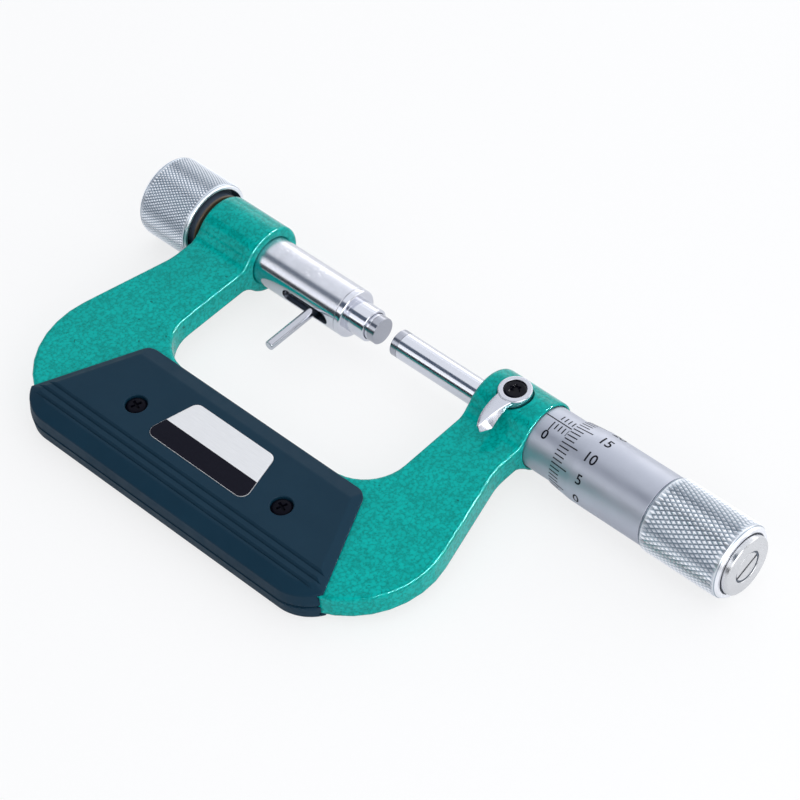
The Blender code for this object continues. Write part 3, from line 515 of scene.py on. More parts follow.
def upright_bar(name, loop, low, high, finish, axis="Z", high_loop=None):
    """A closed outline carried along an axis, with a face on each end; the high one may differ."""
    count = len(loop)
    points = []
    for level, outline in ((low, loop), (high, loop if high_loop is None else high_loop)):
        for u, v in outline:
            points.append((u, level, v) if axis == "Y" else (u, v, level))
    ends = [range(count), range(2 * count - 1, count - 1, -1)]
    return mesh_piece(name, points, [grid_faces(2, count), [list(end) for end in ends]], finish)


def discard(piece):
    """Deletes an object and its mesh."""
    mesh = piece.data
    bpy.data.objects.remove(piece)
    bpy.data.meshes.remove(mesh)


def cut_away(piece, *tools, crease=CREASE):
    """Takes the tools' shapes out of the piece and deletes the tools."""
    for tool in tools:
        cut = piece.modifiers.new("cut", "BOOLEAN")
        cut.operation = "DIFFERENCE"
        cut.solver = "EXACT"
        cut.object = tool
    uncut = piece.data
    finish = uncut.materials[0]
    depsgraph = bpy.context.evaluated_depsgraph_get()
    mesh = bpy.data.meshes.new_from_object(piece.evaluated_get(depsgraph))
    piece.modifiers.clear()
    piece.data = mesh
    bpy.data.meshes.remove(uncut)
    mesh.name = piece.name
    for tool in tools:
        discard(tool)
    return dress(piece, finish, crease)


print("helpers ready")

# %% [markdown]
# Finishes. Each one is a physical surface with its own marks. Hammered enamel is a paint that
# draws together as it dries, into small domes with darker pools between them. Voronoi cells
# whose place is bent by a noise give just that, at any size, where a painted picture would
# repeat. Moulded plastic has the soft grain of its spark-eroded mould: a fine noise as bump.

# %% Enamel and plastic finishes
TEAL = (0.001, 0.360, 0.318)
PALE_TEAL = (0.001, 0.415, 0.370)
DEEP_TEAL = (0.001, 0.160, 0.135)
PIT_TEAL = (0.001, 0.070, 0.060)
NAVY = (0.004, 0.027, 0.052)
CELL = 0.85
SWIRL = 1.6
SWIRL_REACH = 0.9


def hammered_enamel():
    """Enamel that drew together into low domes as it dried, with darker pools between them."""
    enamel = Finish("hammered_enamel", TEAL, roughness=0.09, Specular_IOR_Level=0.20,
                    Specular_Tint=(0.30, 1.0, 1.0, 1.0))
    swirl = enamel.add("ShaderNodeTexNoise", Scale=1.0 / (SWIRL * MM), Detail=2.0, Vector=enamel.place)
    shift = enamel.add("ShaderNodeVectorMath", {"operation": "SCALE"})
    enamel.feed(shift.inputs[0], swirl.outputs["Color"])
    shift.inputs["Scale"].default_value = SWIRL_REACH * MM
    bent = enamel.add("ShaderNodeVectorMath", {"operation": "ADD"})
    enamel.feed(bent.inputs[0], enamel.place)
    enamel.feed(bent.inputs[1], shift.outputs[0])
    cells = enamel.add("ShaderNodeTexVoronoi", {"feature": "SMOOTH_F1"}, Scale=1.0 / (CELL * MM),
                       Smoothness=0.35, Vector=bent.outputs[0])
    pools = enamel.between(cells.outputs["Distance"], 0.34, 0.58)
    fine = enamel.noise(0.45)
    broad = enamel.between(enamel.noise(5.0, detail=2.0), 0.35, 0.65)
    body = enamel.blend(broad, TEAL, PALE_TEAL)
    depth = enamel.times(pools, enamel.between(fine, 0.32, 0.68, 0.10, 0.70))
    coat = enamel.blend(depth, body, DEEP_TEAL)
    pits = enamel.between(enamel.noise(1.3, detail=1.0), 0.74, 0.79)
    enamel.color(enamel.blend(enamel.times(pits, 0.7), coat, PIT_TEAL))
    enamel.bump(enamel.between(cells.outputs["Distance"], 0.0, 0.7, 1.0, 0.0), 0.012, 0.8)
    enamel.bump(fine, 0.003, 0.7)
    return enamel.material


def moulded_plastic():
    """Navy plastic with a fine eroded grain, a few pale scuffs and a satin sheen."""
    plastic = Finish("moulded_plastic", NAVY, roughness=0.42, Specular_IOR_Level=0.12)
    tone = plastic.noise(9.0, detail=4.0)
    plain = plastic.blend(tone, (0.003, 0.024, 0.046), (0.006, 0.032, 0.058))
    scuff = plastic.between(plastic.noise(0.9, detail=6.0, roughness=0.75), 0.72, 0.80)
    plastic.color(plastic.blend(plastic.times(scuff, 0.5), plain, (0.18, 0.22, 0.25)))
    plastic.vary_roughness(plastic.noise(3.0), 0.40, 0.52)
    plastic.bump(plastic.noise(0.16, detail=2.0), 0.010, 0.8)
    return plastic.material


enamel = hammered_enamel()
plastic = moulded_plastic()
print("finishes:", enamel.name, plastic.name)

# %% [markdown]
# Metals. Ground steel and turned chrome keep fine rings around their axis: a noise that is
# fine along the axis and long across it. Nickel and the knurls have a fine even grain, and a
# knurl's grooves get darker towards the bottom, grime and painted shade. The tube shows short
# pale rubs on top. Two functions make nearly all the metals, because they differ only in colour
# and gloss.

# %% Metal finishes


def turned_metal(name, color, roughness, ring=0.05, depth=0.0015, axis="X", metallic=1.0):
    """Metal with fine rings around its axis, as a grinding wheel or a lathe leaves them."""
    metal = Finish(name, color, metallic=metallic, roughness=roughness)
    lines = metal.lines(ring, axis)
    metal.bump(lines, depth, 0.5)
    mixed = metal.calc("ADD", metal.times(lines, 0.5), metal.times(metal.noise(6.0), 0.5))
    metal.vary_roughness(mixed, roughness * 0.8, roughness * 1.25)
    metal.color(metal.blend(lines, shade(color, 0.92), shade(color, 1.05)))
    return metal.material


def grained_metal(name, color, roughness, tips=None):
    """Metal with a fine grain. Tips is (radius, depth) of a knurl round the X axis: the colour
    darkens with the distance below the tips, grime and painted shade in the grooves."""
    metal = Finish(name, color, metallic=1.0, roughness=roughness)
    metal.bump(metal.noise(0.09, detail=2.0), 0.006, 0.6)
    tone = metal.noise(7.0)
    metal.vary_roughness(tone, roughness * 0.9, roughness * 1.1)
    base = metal.blend(tone, shade(color, 0.97), color)
    if tips:
        y, z = metal.coordinate("Y"), metal.coordinate("Z")
        radius = metal.calc("SQRT", metal.calc("ADD", metal.times(y, y), metal.times(z, z)))
        groove = (tips[0] - tips[1]) * MM
        # Darker towards the bottom of the grooves: grime and painted shade.
        groove_dirt_and_shade = metal.between(radius, groove, (tips[0] - 0.35 * tips[1]) * MM, 1.0, 0.0)
        groove_dirt_and_shade = metal.times(groove_dirt_and_shade, metal.between(radius, groove - 0.04 * MM, groove - 0.01 * MM))
        base = metal.blend(groove_dirt_and_shade, base, shade(color, 0.28, 0.35, 0.40))
    metal.color(base)
    return metal.material


def worn_steel_finish():
    """The tube's ground steel with short pale rubs along the axis, dense on its upper side."""
    worn = Finish("worn_steel", STEEL, metallic=1.0, roughness=0.17)
    rings = worn.lines()
    rubs = worn.noise(0.22, detail=4.0, roughness=0.7, place=worn.stretched(0.25, 1.0, 1.0))
    patches = worn.between(worn.noise(3.5, detail=2.0), 0.42, 0.60)
    upper = worn.between(worn.coordinate("Z"), 2.5 * MM, 4.5 * MM)
    rub = worn.times(worn.between(rubs, 0.56, 0.68), worn.times(patches, upper))
    ground = worn.blend(rings, shade(STEEL, 0.92), STEEL)
    cloud = worn.between(worn.noise(4.0), 0.35, 0.65)
    satin = worn.blend(worn.times(cloud, worn.times(upper, 0.5)), ground, shade(STEEL, 0.82))
    worn.color(worn.blend(rub, satin, (0.97, 0.97, 0.98)))
    worn.roughness(worn.between(upper, 0.0, 1.0, 0.12, 0.27))
    worn.bump(rings, 0.0015, 0.5)
    return worn.material


STEEL = (0.70, 0.71, 0.77)
# Painted shade: a dark blue-grey for the insides of narrow gaps and mouths.
GAP_SHADE = (0.060, 0.080, 0.112)
ground_steel = turned_metal("ground_steel", STEEL, 0.15)
worn_steel = worn_steel_finish()
rod_steel = turned_metal("rod_steel", (0.55, 0.56, 0.61), 0.15, axis="Y")
pin_steel = turned_metal("pin_steel", STEEL, 0.22, axis="Z")
carbide = turned_metal("carbide", (0.42, 0.43, 0.48), 0.20, ring=0.08)
satin_chrome = turned_metal("satin_chrome", (0.50, 0.52, 0.59), 0.45, ring=0.07, depth=0.003)
knurl_chrome = grained_metal("knurl_chrome", (0.95, 0.96, 1.00), 0.33, tips=(RATCHET_R, RATCHET_KNURL))
cap_chrome = grained_metal("cap_chrome", (0.93, 0.95, 1.00), 0.36, tips=(CAP_R, CAP_KNURL))
satin_nickel = grained_metal("satin_nickel", (0.62, 0.63, 0.69), 0.24)
disc_steel = turned_metal("disc_steel", (0.68, 0.685, 0.70), 0.24)
brass = turned_metal("brass", (0.60, 0.43, 0.18), 0.34)
# Painted shade: a dark, non-metal finish for the rings in gaps and in the cap's mouth.
painted_gap_shade = turned_metal("painted_gap_shade", GAP_SHADE, 0.38, metallic=0.0)
spring_steel = turned_metal("spring_steel", (0.50, 0.50, 0.54), 0.30)
print("metals ready:", ground_steel.name, satin_chrome.name, carbide.name)

# %% [markdown]
# Black screws have an oiled oxide skin, and engraved lines are filled with paint. Two turned
# pieces change colour along their axis with painted shade: the plunger's piston, seen through
# the slot, is painted dark beside a bright stem, and the ring in the cap is painted dark at its
# mouth. Two materials on two groups of faces could do that, but one material with a step at a
# station needs no split in the mesh.

# %% Oxide, ink and two-tone finishes with painted shade


def black_oxide_finish(name, gloss, roughness):
    """Black screws: an oiled oxide skin, faintly uneven."""
    oxide = Finish(name, (0.004, 0.004, 0.008), roughness=roughness, Specular_IOR_Level=gloss)
    tone = oxide.noise(0.7)
    oxide.color(oxide.blend(tone, (0.001, 0.001, 0.004), (0.004, 0.004, 0.009)))
    oxide.vary_roughness(tone, roughness * 0.8, roughness * 1.3)
    oxide.bump(oxide.noise(0.12), 0.004, 0.5)
    return oxide.material


def ink_finish(name, color):
    """Paint wiped into engraved lines: matt and slightly uneven."""
    ink = Finish(name, color, roughness=0.55, Specular_IOR_Level=0.08)
    lighter = tuple(c * 1.6 + 0.004 for c in color)
    ink.color(ink.blend(ink.noise(0.3), color, lighter))
    ink.bump(ink.noise(0.06), 0.002, 0.5)
    return ink.material


def two_tone_finish(name, station, left, right, roughness, metallic=1.0):
    """A turned piece with one colour to the left of a station on the axis, another to its right."""
    metal = Finish(name, right, metallic=metallic, roughness=roughness)
    left_share = metal.between(metal.coordinate("X"), (station - 0.2) * MM, (station + 0.2) * MM, 1.0, 0.0)
    lines = metal.lines()
    metal.color(metal.blend(left_share, metal.blend(lines, shade(right, 0.92), right), left))
    metal.vary_roughness(lines, roughness * 0.8, roughness * 1.3)
    return metal.material


black_oxide = black_oxide_finish("black_oxide", 0.05, 0.30)
oiled_black = black_oxide_finish("oiled_black", 0.14, 0.12)
# Painted shade: the piston, seen only through the slot, is nearly black; the stem is plain steel.
plunger_shaded_piston = two_tone_finish("plunger_shaded_piston", -11.6, (0.010, 0.016, 0.026), STEEL, 0.13)
# Painted shade at the ring's mouth, left of the station; brass colour beyond it.
ring_brass = two_tone_finish("ring_brass", -51.9, GAP_SHADE, (0.10, 0.062, 0.030), 0.34, metallic=0.0)
black_ink = ink_finish("black_ink", (0.004, 0.004, 0.008))
print("dark finishes:", black_oxide.name, oiled_black.name, black_ink.name)

# %% [markdown]
# The frame is one casting: two round bosses on a C-shaped bow, with soft edges everywhere and
# a hollow curve where a boss grows out of its arm. Such a body is easy to say as a field: how
# far a point lies outside the outline seen from the front, and outside the outline seen from
# the end. A point is in the metal where both are negative, and the edge between the two
# outlines is rounded where they meet. A net of faces is then stretched over the places where
# the field is zero, and every corner of the net is pulled exactly on to the surface.

# %% Fields and the net over them
SEAT_STEPS = 3
PROBE = 0.01
LEAST_STEEP = 0.25
LONGEST_MOVE = 0.3
TINY = 1.0e-9


def round_both(a, b, radius):
    """Inside both shapes, with their common edge rounded: distances add as a hypotenuse."""
    return (np.minimum(np.maximum(a, b), -radius)
            + np.hypot(np.maximum(a + radius, 0.0), np.maximum(b + radius, 0.0)))


def round_either(a, b, radius):
    """Inside one of the shapes, with a hollow fillet where they meet."""
    return -round_both(-a, -b, radius)


def ramp(value, low, high):
    """0 below low, 1 above high and a soft S between them."""
    share = np.clip((value - low) / (high - low), 0.0, 1.0)
    return share * share * (3.0 - 2.0 * share)


def outline_distance(x, y, outline):
    """Distance from every point to a closed outline, negative inside it."""
    nearest = np.full(np.broadcast(x, y).shape, 1.0e6)
    inside = np.zeros(nearest.shape, bool)
    for (ax, ay), (bx, by) in zip(outline, np.roll(outline, -1, axis=0)):
        ex, ey = bx - ax, by - ay
        share = np.clip(((x - ax) * ex + (y - ay) * ey) / (ex * ex + ey * ey), 0.0, 1.0)
        nearest = np.minimum(nearest, (x - ax - share * ex) ** 2 + (y - ay - share * ey) ** 2)
        if ay != by:
            crosses = ((ay <= y) != (by <= y)) & (x < ax + (y - ay) * ex / ey)
            inside ^= crosses
    return np.where(inside, -1.0, 1.0) * np.sqrt(nearest)


def edge_crossings(value, lines, axis):
    """Where the surface crosses the grid's lines along one axis: the spots and a mask."""
    near = np.take(value, range(len(lines[axis]) - 1), axis)
    far = np.take(value, range(1, len(lines[axis])), axis)
    crossed = (near < 0) != (far < 0)
    share = np.where(crossed, near / np.where(crossed, near - far, 1.0), 0.0)
    spots = []
    for other, line in enumerate(lines):
        shape = [-1 if k == other else 1 for k in range(3)]
        if other == axis:
            spot = line[:-1].reshape(shape) + share * np.diff(line).reshape(shape)
        else:
            spot = line.reshape(shape)
        spots.append(np.broadcast_to(spot, crossed.shape))
    return np.stack(spots, -1) * crossed[..., None], crossed


def faces_round_lines(number, crossed, axis):
    """One face round each crossed grid line; its corners are the points of the four cells there."""
    u, v = [k for k in range(3) if k != axis]
    where = np.argwhere(crossed)
    where = where[(where[:, u] > 0) & (where[:, u] < number.shape[u])
                  & (where[:, v] > 0) & (where[:, v] < number.shape[v])]
    corners = []
    for du, dv in ((1, 1), (0, 1), (0, 0), (1, 0)):
        cell = where.copy()
        cell[:, u] -= du
        cell[:, v] -= dv
        corners.append(number[tuple(cell.T)])
    return np.stack(corners, -1)


def net_over(field, xs, ys, zs):
    """One point in each grid cell that the surface crosses, at the mean of the crossings on its
    edges, and one face around each crossed grid line. Newton steps then seat the points."""
    lines = (xs, ys, zs)
    value = field(xs[:, None, None], ys[None, :, None], zs[None, None, :])
    value = np.broadcast_to(value, (len(xs), len(ys), len(zs)))
    cells = tuple(len(line) - 1 for line in lines)
    total = np.zeros((*cells, 3))
    hits = np.zeros(cells)
    masks = []
    for axis in range(3):
        spot, crossed = edge_crossings(value, lines, axis)
        masks.append(crossed)
        u, v = [k for k in range(3) if k != axis]
        for du, dv in ((0, 0), (0, 1), (1, 0), (1, 1)):
            part = [slice(None)] * 3
            part[u] = slice(du, du + cells[u])
            part[v] = slice(dv, dv + cells[v])
            total += spot[tuple(part)]
            hits += crossed[tuple(part)]
    used = hits > 0
    number = np.full(cells, -1)
    number[used] = np.arange(used.sum())
    points = seat_points(field, total[used] / hits[used][:, None])
    faces = [faces_round_lines(number, crossed, axis) for axis, crossed in enumerate(masks)]
    return points, np.concatenate(faces)


def seat_points(field, points):
    """Moves each point along the field's slope by the field's value over the slope."""
    for _ in range(SEAT_STEPS):
        here = field(*points.T)
        slope = np.stack([(field(*(points + PROBE * side).T) - here) / PROBE for side in np.eye(3)], -1)
        steep = np.maximum((slope * slope).sum(-1), LEAST_STEEP)
        move = -(here / steep)[:, None] * slope
        length = np.maximum(np.linalg.norm(move, axis=1), TINY)
        points = points + move * np.minimum(1.0, LONGEST_MOVE / length)[:, None]
    return points


def even_lines(low, high, step):
    """Grid lines about one step apart."""
    return np.linspace(low, high, int(math.ceil((high - low) / step)) + 1)


print("net helpers ready")

# %% [markdown]
# The sizes of the casting. Pairs are left and right. The outline seen from the front is a list
# of corners, and each third number is how far that corner is rounded: the bow's lower corners
# are large arcs, and the throat is a rectangle with round corners.

# %% The frame's sizes
HALF_T = 3.05
FRAME_EDGE = 0.7
THROAT = (-34.4, 31.6)
THROAT_Y = -37.3
THROAT_CORNER = 10.7
BOW_Y = -65.4
BOW_CORNERS = (22.5, 21.2)
ARM_OUTSIDE = (-50.4, 47.4)
ARM_FLARES = (0.242, 0.282)
ARM_STRAIGHT_Y = -15.5
ARM_BLEND = 16.0
BOSS_LEFT = (-50.6, -34.3)
BOSS_RIGHT = (31.2, 47.8)
BOSS_RADII = (8.2, 8.15)
BOSS_EDGES = (0.8, 1.4, 0.4)
BOSS_FILLET = 2.0
BOSS_FROM_Y = (-9.5, -7.0)
BOSS_OVER_Y = 9.5
NOSE_BLEND = (36.0, 44.0)
FRAME_STEP = 0.46
DEPTH_STEP = 0.40

bow_run = ARM_STRAIGHT_Y - BOW_Y
frame_outline = corner_arcs([
    (BOSS_LEFT[0], BOSS_OVER_Y, 0), (BOSS_LEFT[0], BOSS_FROM_Y[1], 0), (ARM_OUTSIDE[0], BOSS_FROM_Y[0], 0),
    (ARM_OUTSIDE[0], ARM_STRAIGHT_Y, ARM_BLEND),
    (ARM_OUTSIDE[0] - bow_run * ARM_FLARES[0], BOW_Y, BOW_CORNERS[0]),
    (ARM_OUTSIDE[1] + bow_run * ARM_FLARES[1], BOW_Y, BOW_CORNERS[1]),
    (ARM_OUTSIDE[1], ARM_STRAIGHT_Y, ARM_BLEND), (ARM_OUTSIDE[1], BOSS_FROM_Y[0], 0),
    (BOSS_RIGHT[1], BOSS_FROM_Y[1], 0), (BOSS_RIGHT[1], BOSS_OVER_Y, 0),
    (BOSS_RIGHT[0], BOSS_OVER_Y, 0), (BOSS_RIGHT[0], BOSS_FROM_Y[1], 0), (THROAT[1], BOSS_FROM_Y[0], 0),
    (THROAT[1], THROAT_Y, THROAT_CORNER), (THROAT[0], THROAT_Y, THROAT_CORNER),
    (THROAT[0], BOSS_FROM_Y[0], 0), (BOSS_LEFT[1], BOSS_FROM_Y[1], 0), (BOSS_LEFT[1], BOSS_OVER_Y, 0),
])
print("frame outline:", len(frame_outline), "points")

# %% [markdown]
# The casting. Extruded and bevelled outlines could give the flat bow, but the soft run from
# the bow into the round bosses would need sculpting. In the field it is one rounded union.

# %% The casting


def frame_field(x, y, z):
    """Outline from the front and outline from the end (boss, arm and hollow), edge rounded."""
    front = outline_distance(x, y, frame_outline)
    boss = np.hypot(y, z) - np.where(x < 0, *BOSS_RADII)
    arm = np.maximum(np.abs(z) - HALF_T, y)
    end = round_either(boss, arm, BOSS_FILLET)
    left_edge, nose_edge, right_edge = BOSS_EDGES
    right = nose_edge + (right_edge - nose_edge) * ramp(x, *NOSE_BLEND)
    boss_edge = np.where(x < 0, left_edge, right)
    edge = FRAME_EDGE + (boss_edge - FRAME_EDGE) * ramp(y, *BOSS_FROM_Y)
    return round_both(front, end, edge)


cast_points, cast_faces = net_over(
    frame_field, even_lines(-64.0, 64.0, FRAME_STEP), even_lines(-66.5, 9.2, FRAME_STEP),
    even_lines(-8.7, 8.7, DEPTH_STEP))
casting = mesh_piece("frame_casting", cast_points, [cast_faces], enamel)
print("casting:", len(casting.data.polygons), "faces")

# %% [markdown]
# The bores are machined after casting, so they are cut here too, with turned tools and the
# Boolean modifier, which is applied at once. A small countersink at each mouth gives the thin
# dark line around the tube and the sleeve.

# %% Bores of the casting
left_bore = turned("tool_left_bore", [(-52.0, 0.0), (-52.0, 7.3), (-50.35, 5.9), (-34.6, 5.9),
                                      (-33.0, 7.4), (-33.0, 0.0)], enamel, sides=96)
right_bore = turned("tool_right_bore", [
    (30.0, 0.0), (30.0, 4.6), (31.5, 3.3), (41.9, 3.3), (41.9, 5.65), (44.8, 5.65),
    (44.8, 7.5), (47.55, 7.5), (49.0, 8.9), (49.0, 0.0)], enamel, sides=96)
lock_seat = turned("tool_lock_seat", [(2.9, 0.0), (2.9, 2.0), (6.3, 2.0), (6.3, 4.1), (9.5, 4.1),
                                      (9.5, 0.0)], enamel, sides=72, axis="Z", centre=(LOCK_X, 0, 0))
cut_away(casting, left_bore, right_bore, lock_seat, crease=50.0)
stand_for(casting, "frame")
print("casting with bores:", len(casting.data.polygons), "faces")

# %% [markdown]
# The anvil's side. The indicator seat holds a tube with a long slot; a bush closes its end,
# and the anvil's stem slides in the bush. A rod through the slot draws the anvil back. All
# are turned pieces, so each is a profile carried round the axis, and the slot is milled in
# the finished tube with its lip broken by a small bevel.

# %% Slotted tube
TUBE_R = 5.8
TUBE_BORE = 4.6
TUBE_ENDS = (-62.0, -9.7)
SLOT_ENDS = (-25.4, -11.6)
SLOT_HALF = 1.6
SLOT_LIP = 0.16
SLOT_STEPS = 12
THROUGH_WALL = (-9.0, -0.5)
LIP_LEVELS = (-6.4, -5.4)


def slot_tool(name, low, high):
    """A bar with round ends, upright along Y. Low and high are (level, widening) of its faces."""
    turn = np.linspace(-math.pi / 2, math.pi / 2, SLOT_STEPS)
    loops = []
    for widening in (low[1], high[1]):
        half = SLOT_HALF + widening
        right = np.stack([SLOT_ENDS[1] - SLOT_HALF + half * np.cos(turn), half * np.sin(turn)], -1)
        left = np.stack([SLOT_ENDS[0] + SLOT_HALF - half * np.cos(turn), -half * np.sin(turn)], -1)
        loops.append(np.concatenate([right, left]))
    return upright_bar(name, loops[0], low[0], high[0], ground_steel, "Y", loops[1])


tube = turned("slotted_tube", [
    (TUBE_ENDS[0], TUBE_R, 0.25), (TUBE_ENDS[1], TUBE_R, 0.2), (TUBE_ENDS[1], TUBE_BORE, 0.1),
    (TUBE_ENDS[0], TUBE_BORE, 0.2)], worn_steel, sides=192, closed=True)
cut_away(tube, slot_tool("tool_slot", (THROUGH_WALL[0], 0.0), (THROUGH_WALL[1], 0.0)),
         slot_tool("tool_lip", (LIP_LEVELS[0], 0.6 + SLOT_LIP), (LIP_LEVELS[1] - SLOT_LIP, -0.25)))
stand_for(tube, "anvil_tube")
print("tube:", len(tube.data.polygons), "faces")

# %% [markdown]
# What sits in the tube: the bush with its thin flange, the plunger, its carbide face and the
# rod. Each is one profile of (station, radius, rounding); the rod is turned about Y.

# %% Bush, plunger, tip and rod
turned_node("guide_bush", "end_bush", [
    (-11.2, 3.3, 0.1), (-11.2, 4.5, 0.2), (-9.6, 4.5), (-9.6, 5.8, 0.12), (-8.0, 5.8, 0.5),
    (-8.0, 3.95, 0.05), (-2.6, 3.95, 0.35), (-2.6, 3.3, 0.08)], ground_steel, closed=True)
turned_node("anvil_plunger", "anvil_stem", [
    (-26.3, 0.0), (-26.3, 4.5, 0.3), (-11.5, 4.5, 0.3), (-11.5, 3.2), (-1.9, 3.2, 0.08), (-1.9, 0.0)],
    plunger_shaded_piston)
turned_node("anvil_tip", "anvil_face", [
    (-1.85, 0.0), (-1.85, 3.2, 0.06), (0.0, 3.2, 0.12), (0.0, 0.0)], carbide)
turned_node("draw_rod", "rod", [(-0.6, 0.0), (-0.6, 1.15, 0.1), (-19.2, 1.15, 0.3), (-19.2, 0.0)],
            rod_steel, sides=64, axis="Y", centre=(-16.4, 0.0, 0.0))
print("anvil side:", tube.name, "and four pieces in it")

# %% [markdown]
# The knurls are two crossed sets of slanting V grooves, which leave small pyramids. On a grid
# whose step is half a pyramid, tips and pits alternate like a chessboard, and every little
# square is split along the line that joins its two pits, so the grooves stay sharp. A bump
# would be cheaper, but the outline of the cap would stay smooth, and here its teeth show.

# %% Knurled pieces
RUN_OUT = 0.55


def knurl_faces(quads, sides, band_start, band_end):
    """The quads outside the band, and the band's triangles, split from pit to pit."""
    row, column = np.divmod(quads[:, 0], sides)
    banded = (row >= band_start) & (row < band_end)
    first_is_pit = (row + column) % 2 == 1
    along = quads[banded & first_is_pit]
    across = quads[banded & ~first_is_pit]
    triangles = [along[:, [0, 1, 2]], along[:, [0, 2, 3]], across[:, [0, 1, 3]], across[:, [1, 2, 3]]]
    return [quads[~banded], np.concatenate(triangles)]


def knurled(name, before, band, after, finish, starts, stride, depth, closed=False):
    """A turned piece with a knurled band (first station, last station, radius) in its profile.

    Tips lie at the band's radius where row plus column is even, pits a depth lower elsewhere.
    Starts tips go round the piece, and stride is the step along it from a tip to a pit."""
    first, last, radius = band
    rows = int(round((last - first) / stride)) + 1
    sides = 2 * starts
    lead = eased(before)
    middle = np.stack([np.linspace(first, last, rows), np.full(rows, radius)], -1)
    profile = np.concatenate([lead, middle, eased(after)])
    band_start = len(lead)
    band_end = band_start + rows - 1
    row = np.arange(len(profile))[:, None]
    column = np.arange(sides)[None, :]
    pit = (row > band_start) & (row < band_end) & ((row + column) % 2 == 1)
    radii = profile[:, 1][:, None] - depth * pit
    radii = np.where((row == band_start) | (row == band_end), radii - depth * RUN_OUT, radii)
    angle = column * 2 * math.pi / sides
    points = np.stack([np.broadcast_to(profile[:, :1], radii.shape), radii * np.cos(angle),
                       radii * np.sin(angle)], -1).reshape(-1, 3)
    quads = grid_faces(len(profile), sides, closed_rows=closed)
    return mesh_piece(name, points, knurl_faces(quads, sides, band_start, band_end), finish, crease=30.0)


def dark_ring(name, node, profile):
    """A dark ring deep in a gap, where hardly any light would get in. It rides with the node."""
    ring = turned(name, profile, painted_gap_shade, closed=True)
    return ride_on(ring, body_of[node])


cap = knurled(
    "rear_cap_knurled",
    [(-68.1, 0.0), (-68.1, 7.4), (-67.95, 7.55), (-68.1, 7.7), (-68.1, 8.9, 0.3), (-67.1, 9.75, 0.1)],
    (-66.9, -53.3, CAP_R),
    [(-53.2, 9.76, 0.04), (-52.6, 9.3, 0.12), (-52.6, 8.75, 0.05), (-55.6, 8.75), (-55.6, 7.65),
     (-65.1, 7.65), (-65.1, 0.0)],
    cap_chrome, starts=78, stride=0.625, depth=CAP_KNURL)
stand_for(cap, "rear_cap")
turned_node("cap_thread_ring", "cap_ring_brass", [
    (-63.0, 5.9), (-63.0, 7.6, 0.2), (-51.5, 7.6, 0.4), (-51.5, 5.9, 0.2)], ring_brass, closed=True)
# Painted shade: a dark ring lines the mouth of the cap.
dark_ring("cap_recess", "rear_cap", [
    (-52.75, 8.74), (-55.59, 8.74), (-55.59, 7.66), (-55.5, 7.66), (-55.5, 8.62, 0.3), (-52.75, 8.66)])
ratchet = knurled(
    "ratchet_knurled", [(80.23, 8.05), (80.23, 8.4, 0.1), (80.55, 8.7, 0.05)],
    (80.7, 99.85, RATCHET_R),
    [(99.95, 8.68, 0.04), (100.83, 8.1, 0.2), (100.83, 7.3, 0.1), (84.33, 7.3), (84.33, 8.05)],
    knurl_chrome, starts=50, stride=0.984, depth=RATCHET_KNURL, closed=True)
stand_for(ratchet, "ratchet_sleeve")
print("knurled faces:", len(cap.data.polygons), len(ratchet.data.polygons))

# %% [markdown]
# The measuring side: the ground spindle with its carbide face, the sleeve with the scale, the
# bevelled thimble, the end disc and its slotted screw. All are turned. The thimble is hollow,
# because its skirt runs over the sleeve. Two dark rings stand for the shade in narrow gaps,
# and the driver's slot is sawn across the screw with a bar.

# %% Measuring side
SLOT_TURN = math.radians(17.0)
DRIVER_SLOT = {"station": (101.33, 103.0), "half_width": 0.35, "half_length": 4.5}

turned_node("spindle", "spindle_ground", [
    (6.9, 0.0), (6.9, 3.175, 0.05), (52.0, 3.175), (52.0, 3.6), (82.5, 3.6), (82.5, 3.2), (90.0, 2.6),
    (90.0, 0.0)], ground_steel)
turned_node("spindle_tip", "spindle_face", [
    (5.0, 0.0), (5.0, 3.175, 0.1), (6.85, 3.175, 0.05), (6.85, 0.0)], carbide)
turned_node("graduated_sleeve", "scale_sleeve", [
    (44.9, 6.8), (44.9, SLEEVE_R), (78.8, SLEEVE_R, 0.1), (78.8, 6.8, 0.1)], satin_chrome, closed=True)
turned_node("thimble", "bevelled_thimble", [
    (*BEVEL_START, 0.05), (*BEVEL_END, 0.6), (80.03, THIMBLE_R, 0.15), (80.03, 7.95), (84.23, 7.95),
    (84.23, 6.0), (86.53, 6.0), (86.53, 5.0), (96.93, 5.0), (96.93, 1.35), (90.1, 1.35), (90.1, 2.65),
    (82.9, 3.25), (82.9, 3.68), (83.53, 3.68), (83.53, 7.52), (54.93, 7.52)], satin_chrome, closed=True)
turned_node("end_disc", "turned_end_disc", [
    (97.03, 7.0, 0.1), (102.23, 7.0, 0.6), (102.23, 3.75, 0.2), (100.63, 3.75), (100.63, 1.35),
    (97.03, 1.35)], disc_steel, closed=True)
end_screw = turned_node("end_screw", "end_screw_slotted", [
    (85.73, 0.0), (85.73, 1.2, 0.1), (100.73, 1.25), (100.73, 3.35, 0.05), (102.03, 3.35, 0.15),
    (102.03, 0.0)], disc_steel, sides=96)
dark_ring("sleeve_gap", "ratchet_sleeve", [(96.0, 7.02), (96.0, 7.28), (100.3, 7.28), (100.3, 7.02)])
dark_ring("screw_gap", "end_disc", [(100.65, 3.38), (100.65, 3.73), (101.85, 3.73), (101.85, 3.38)])


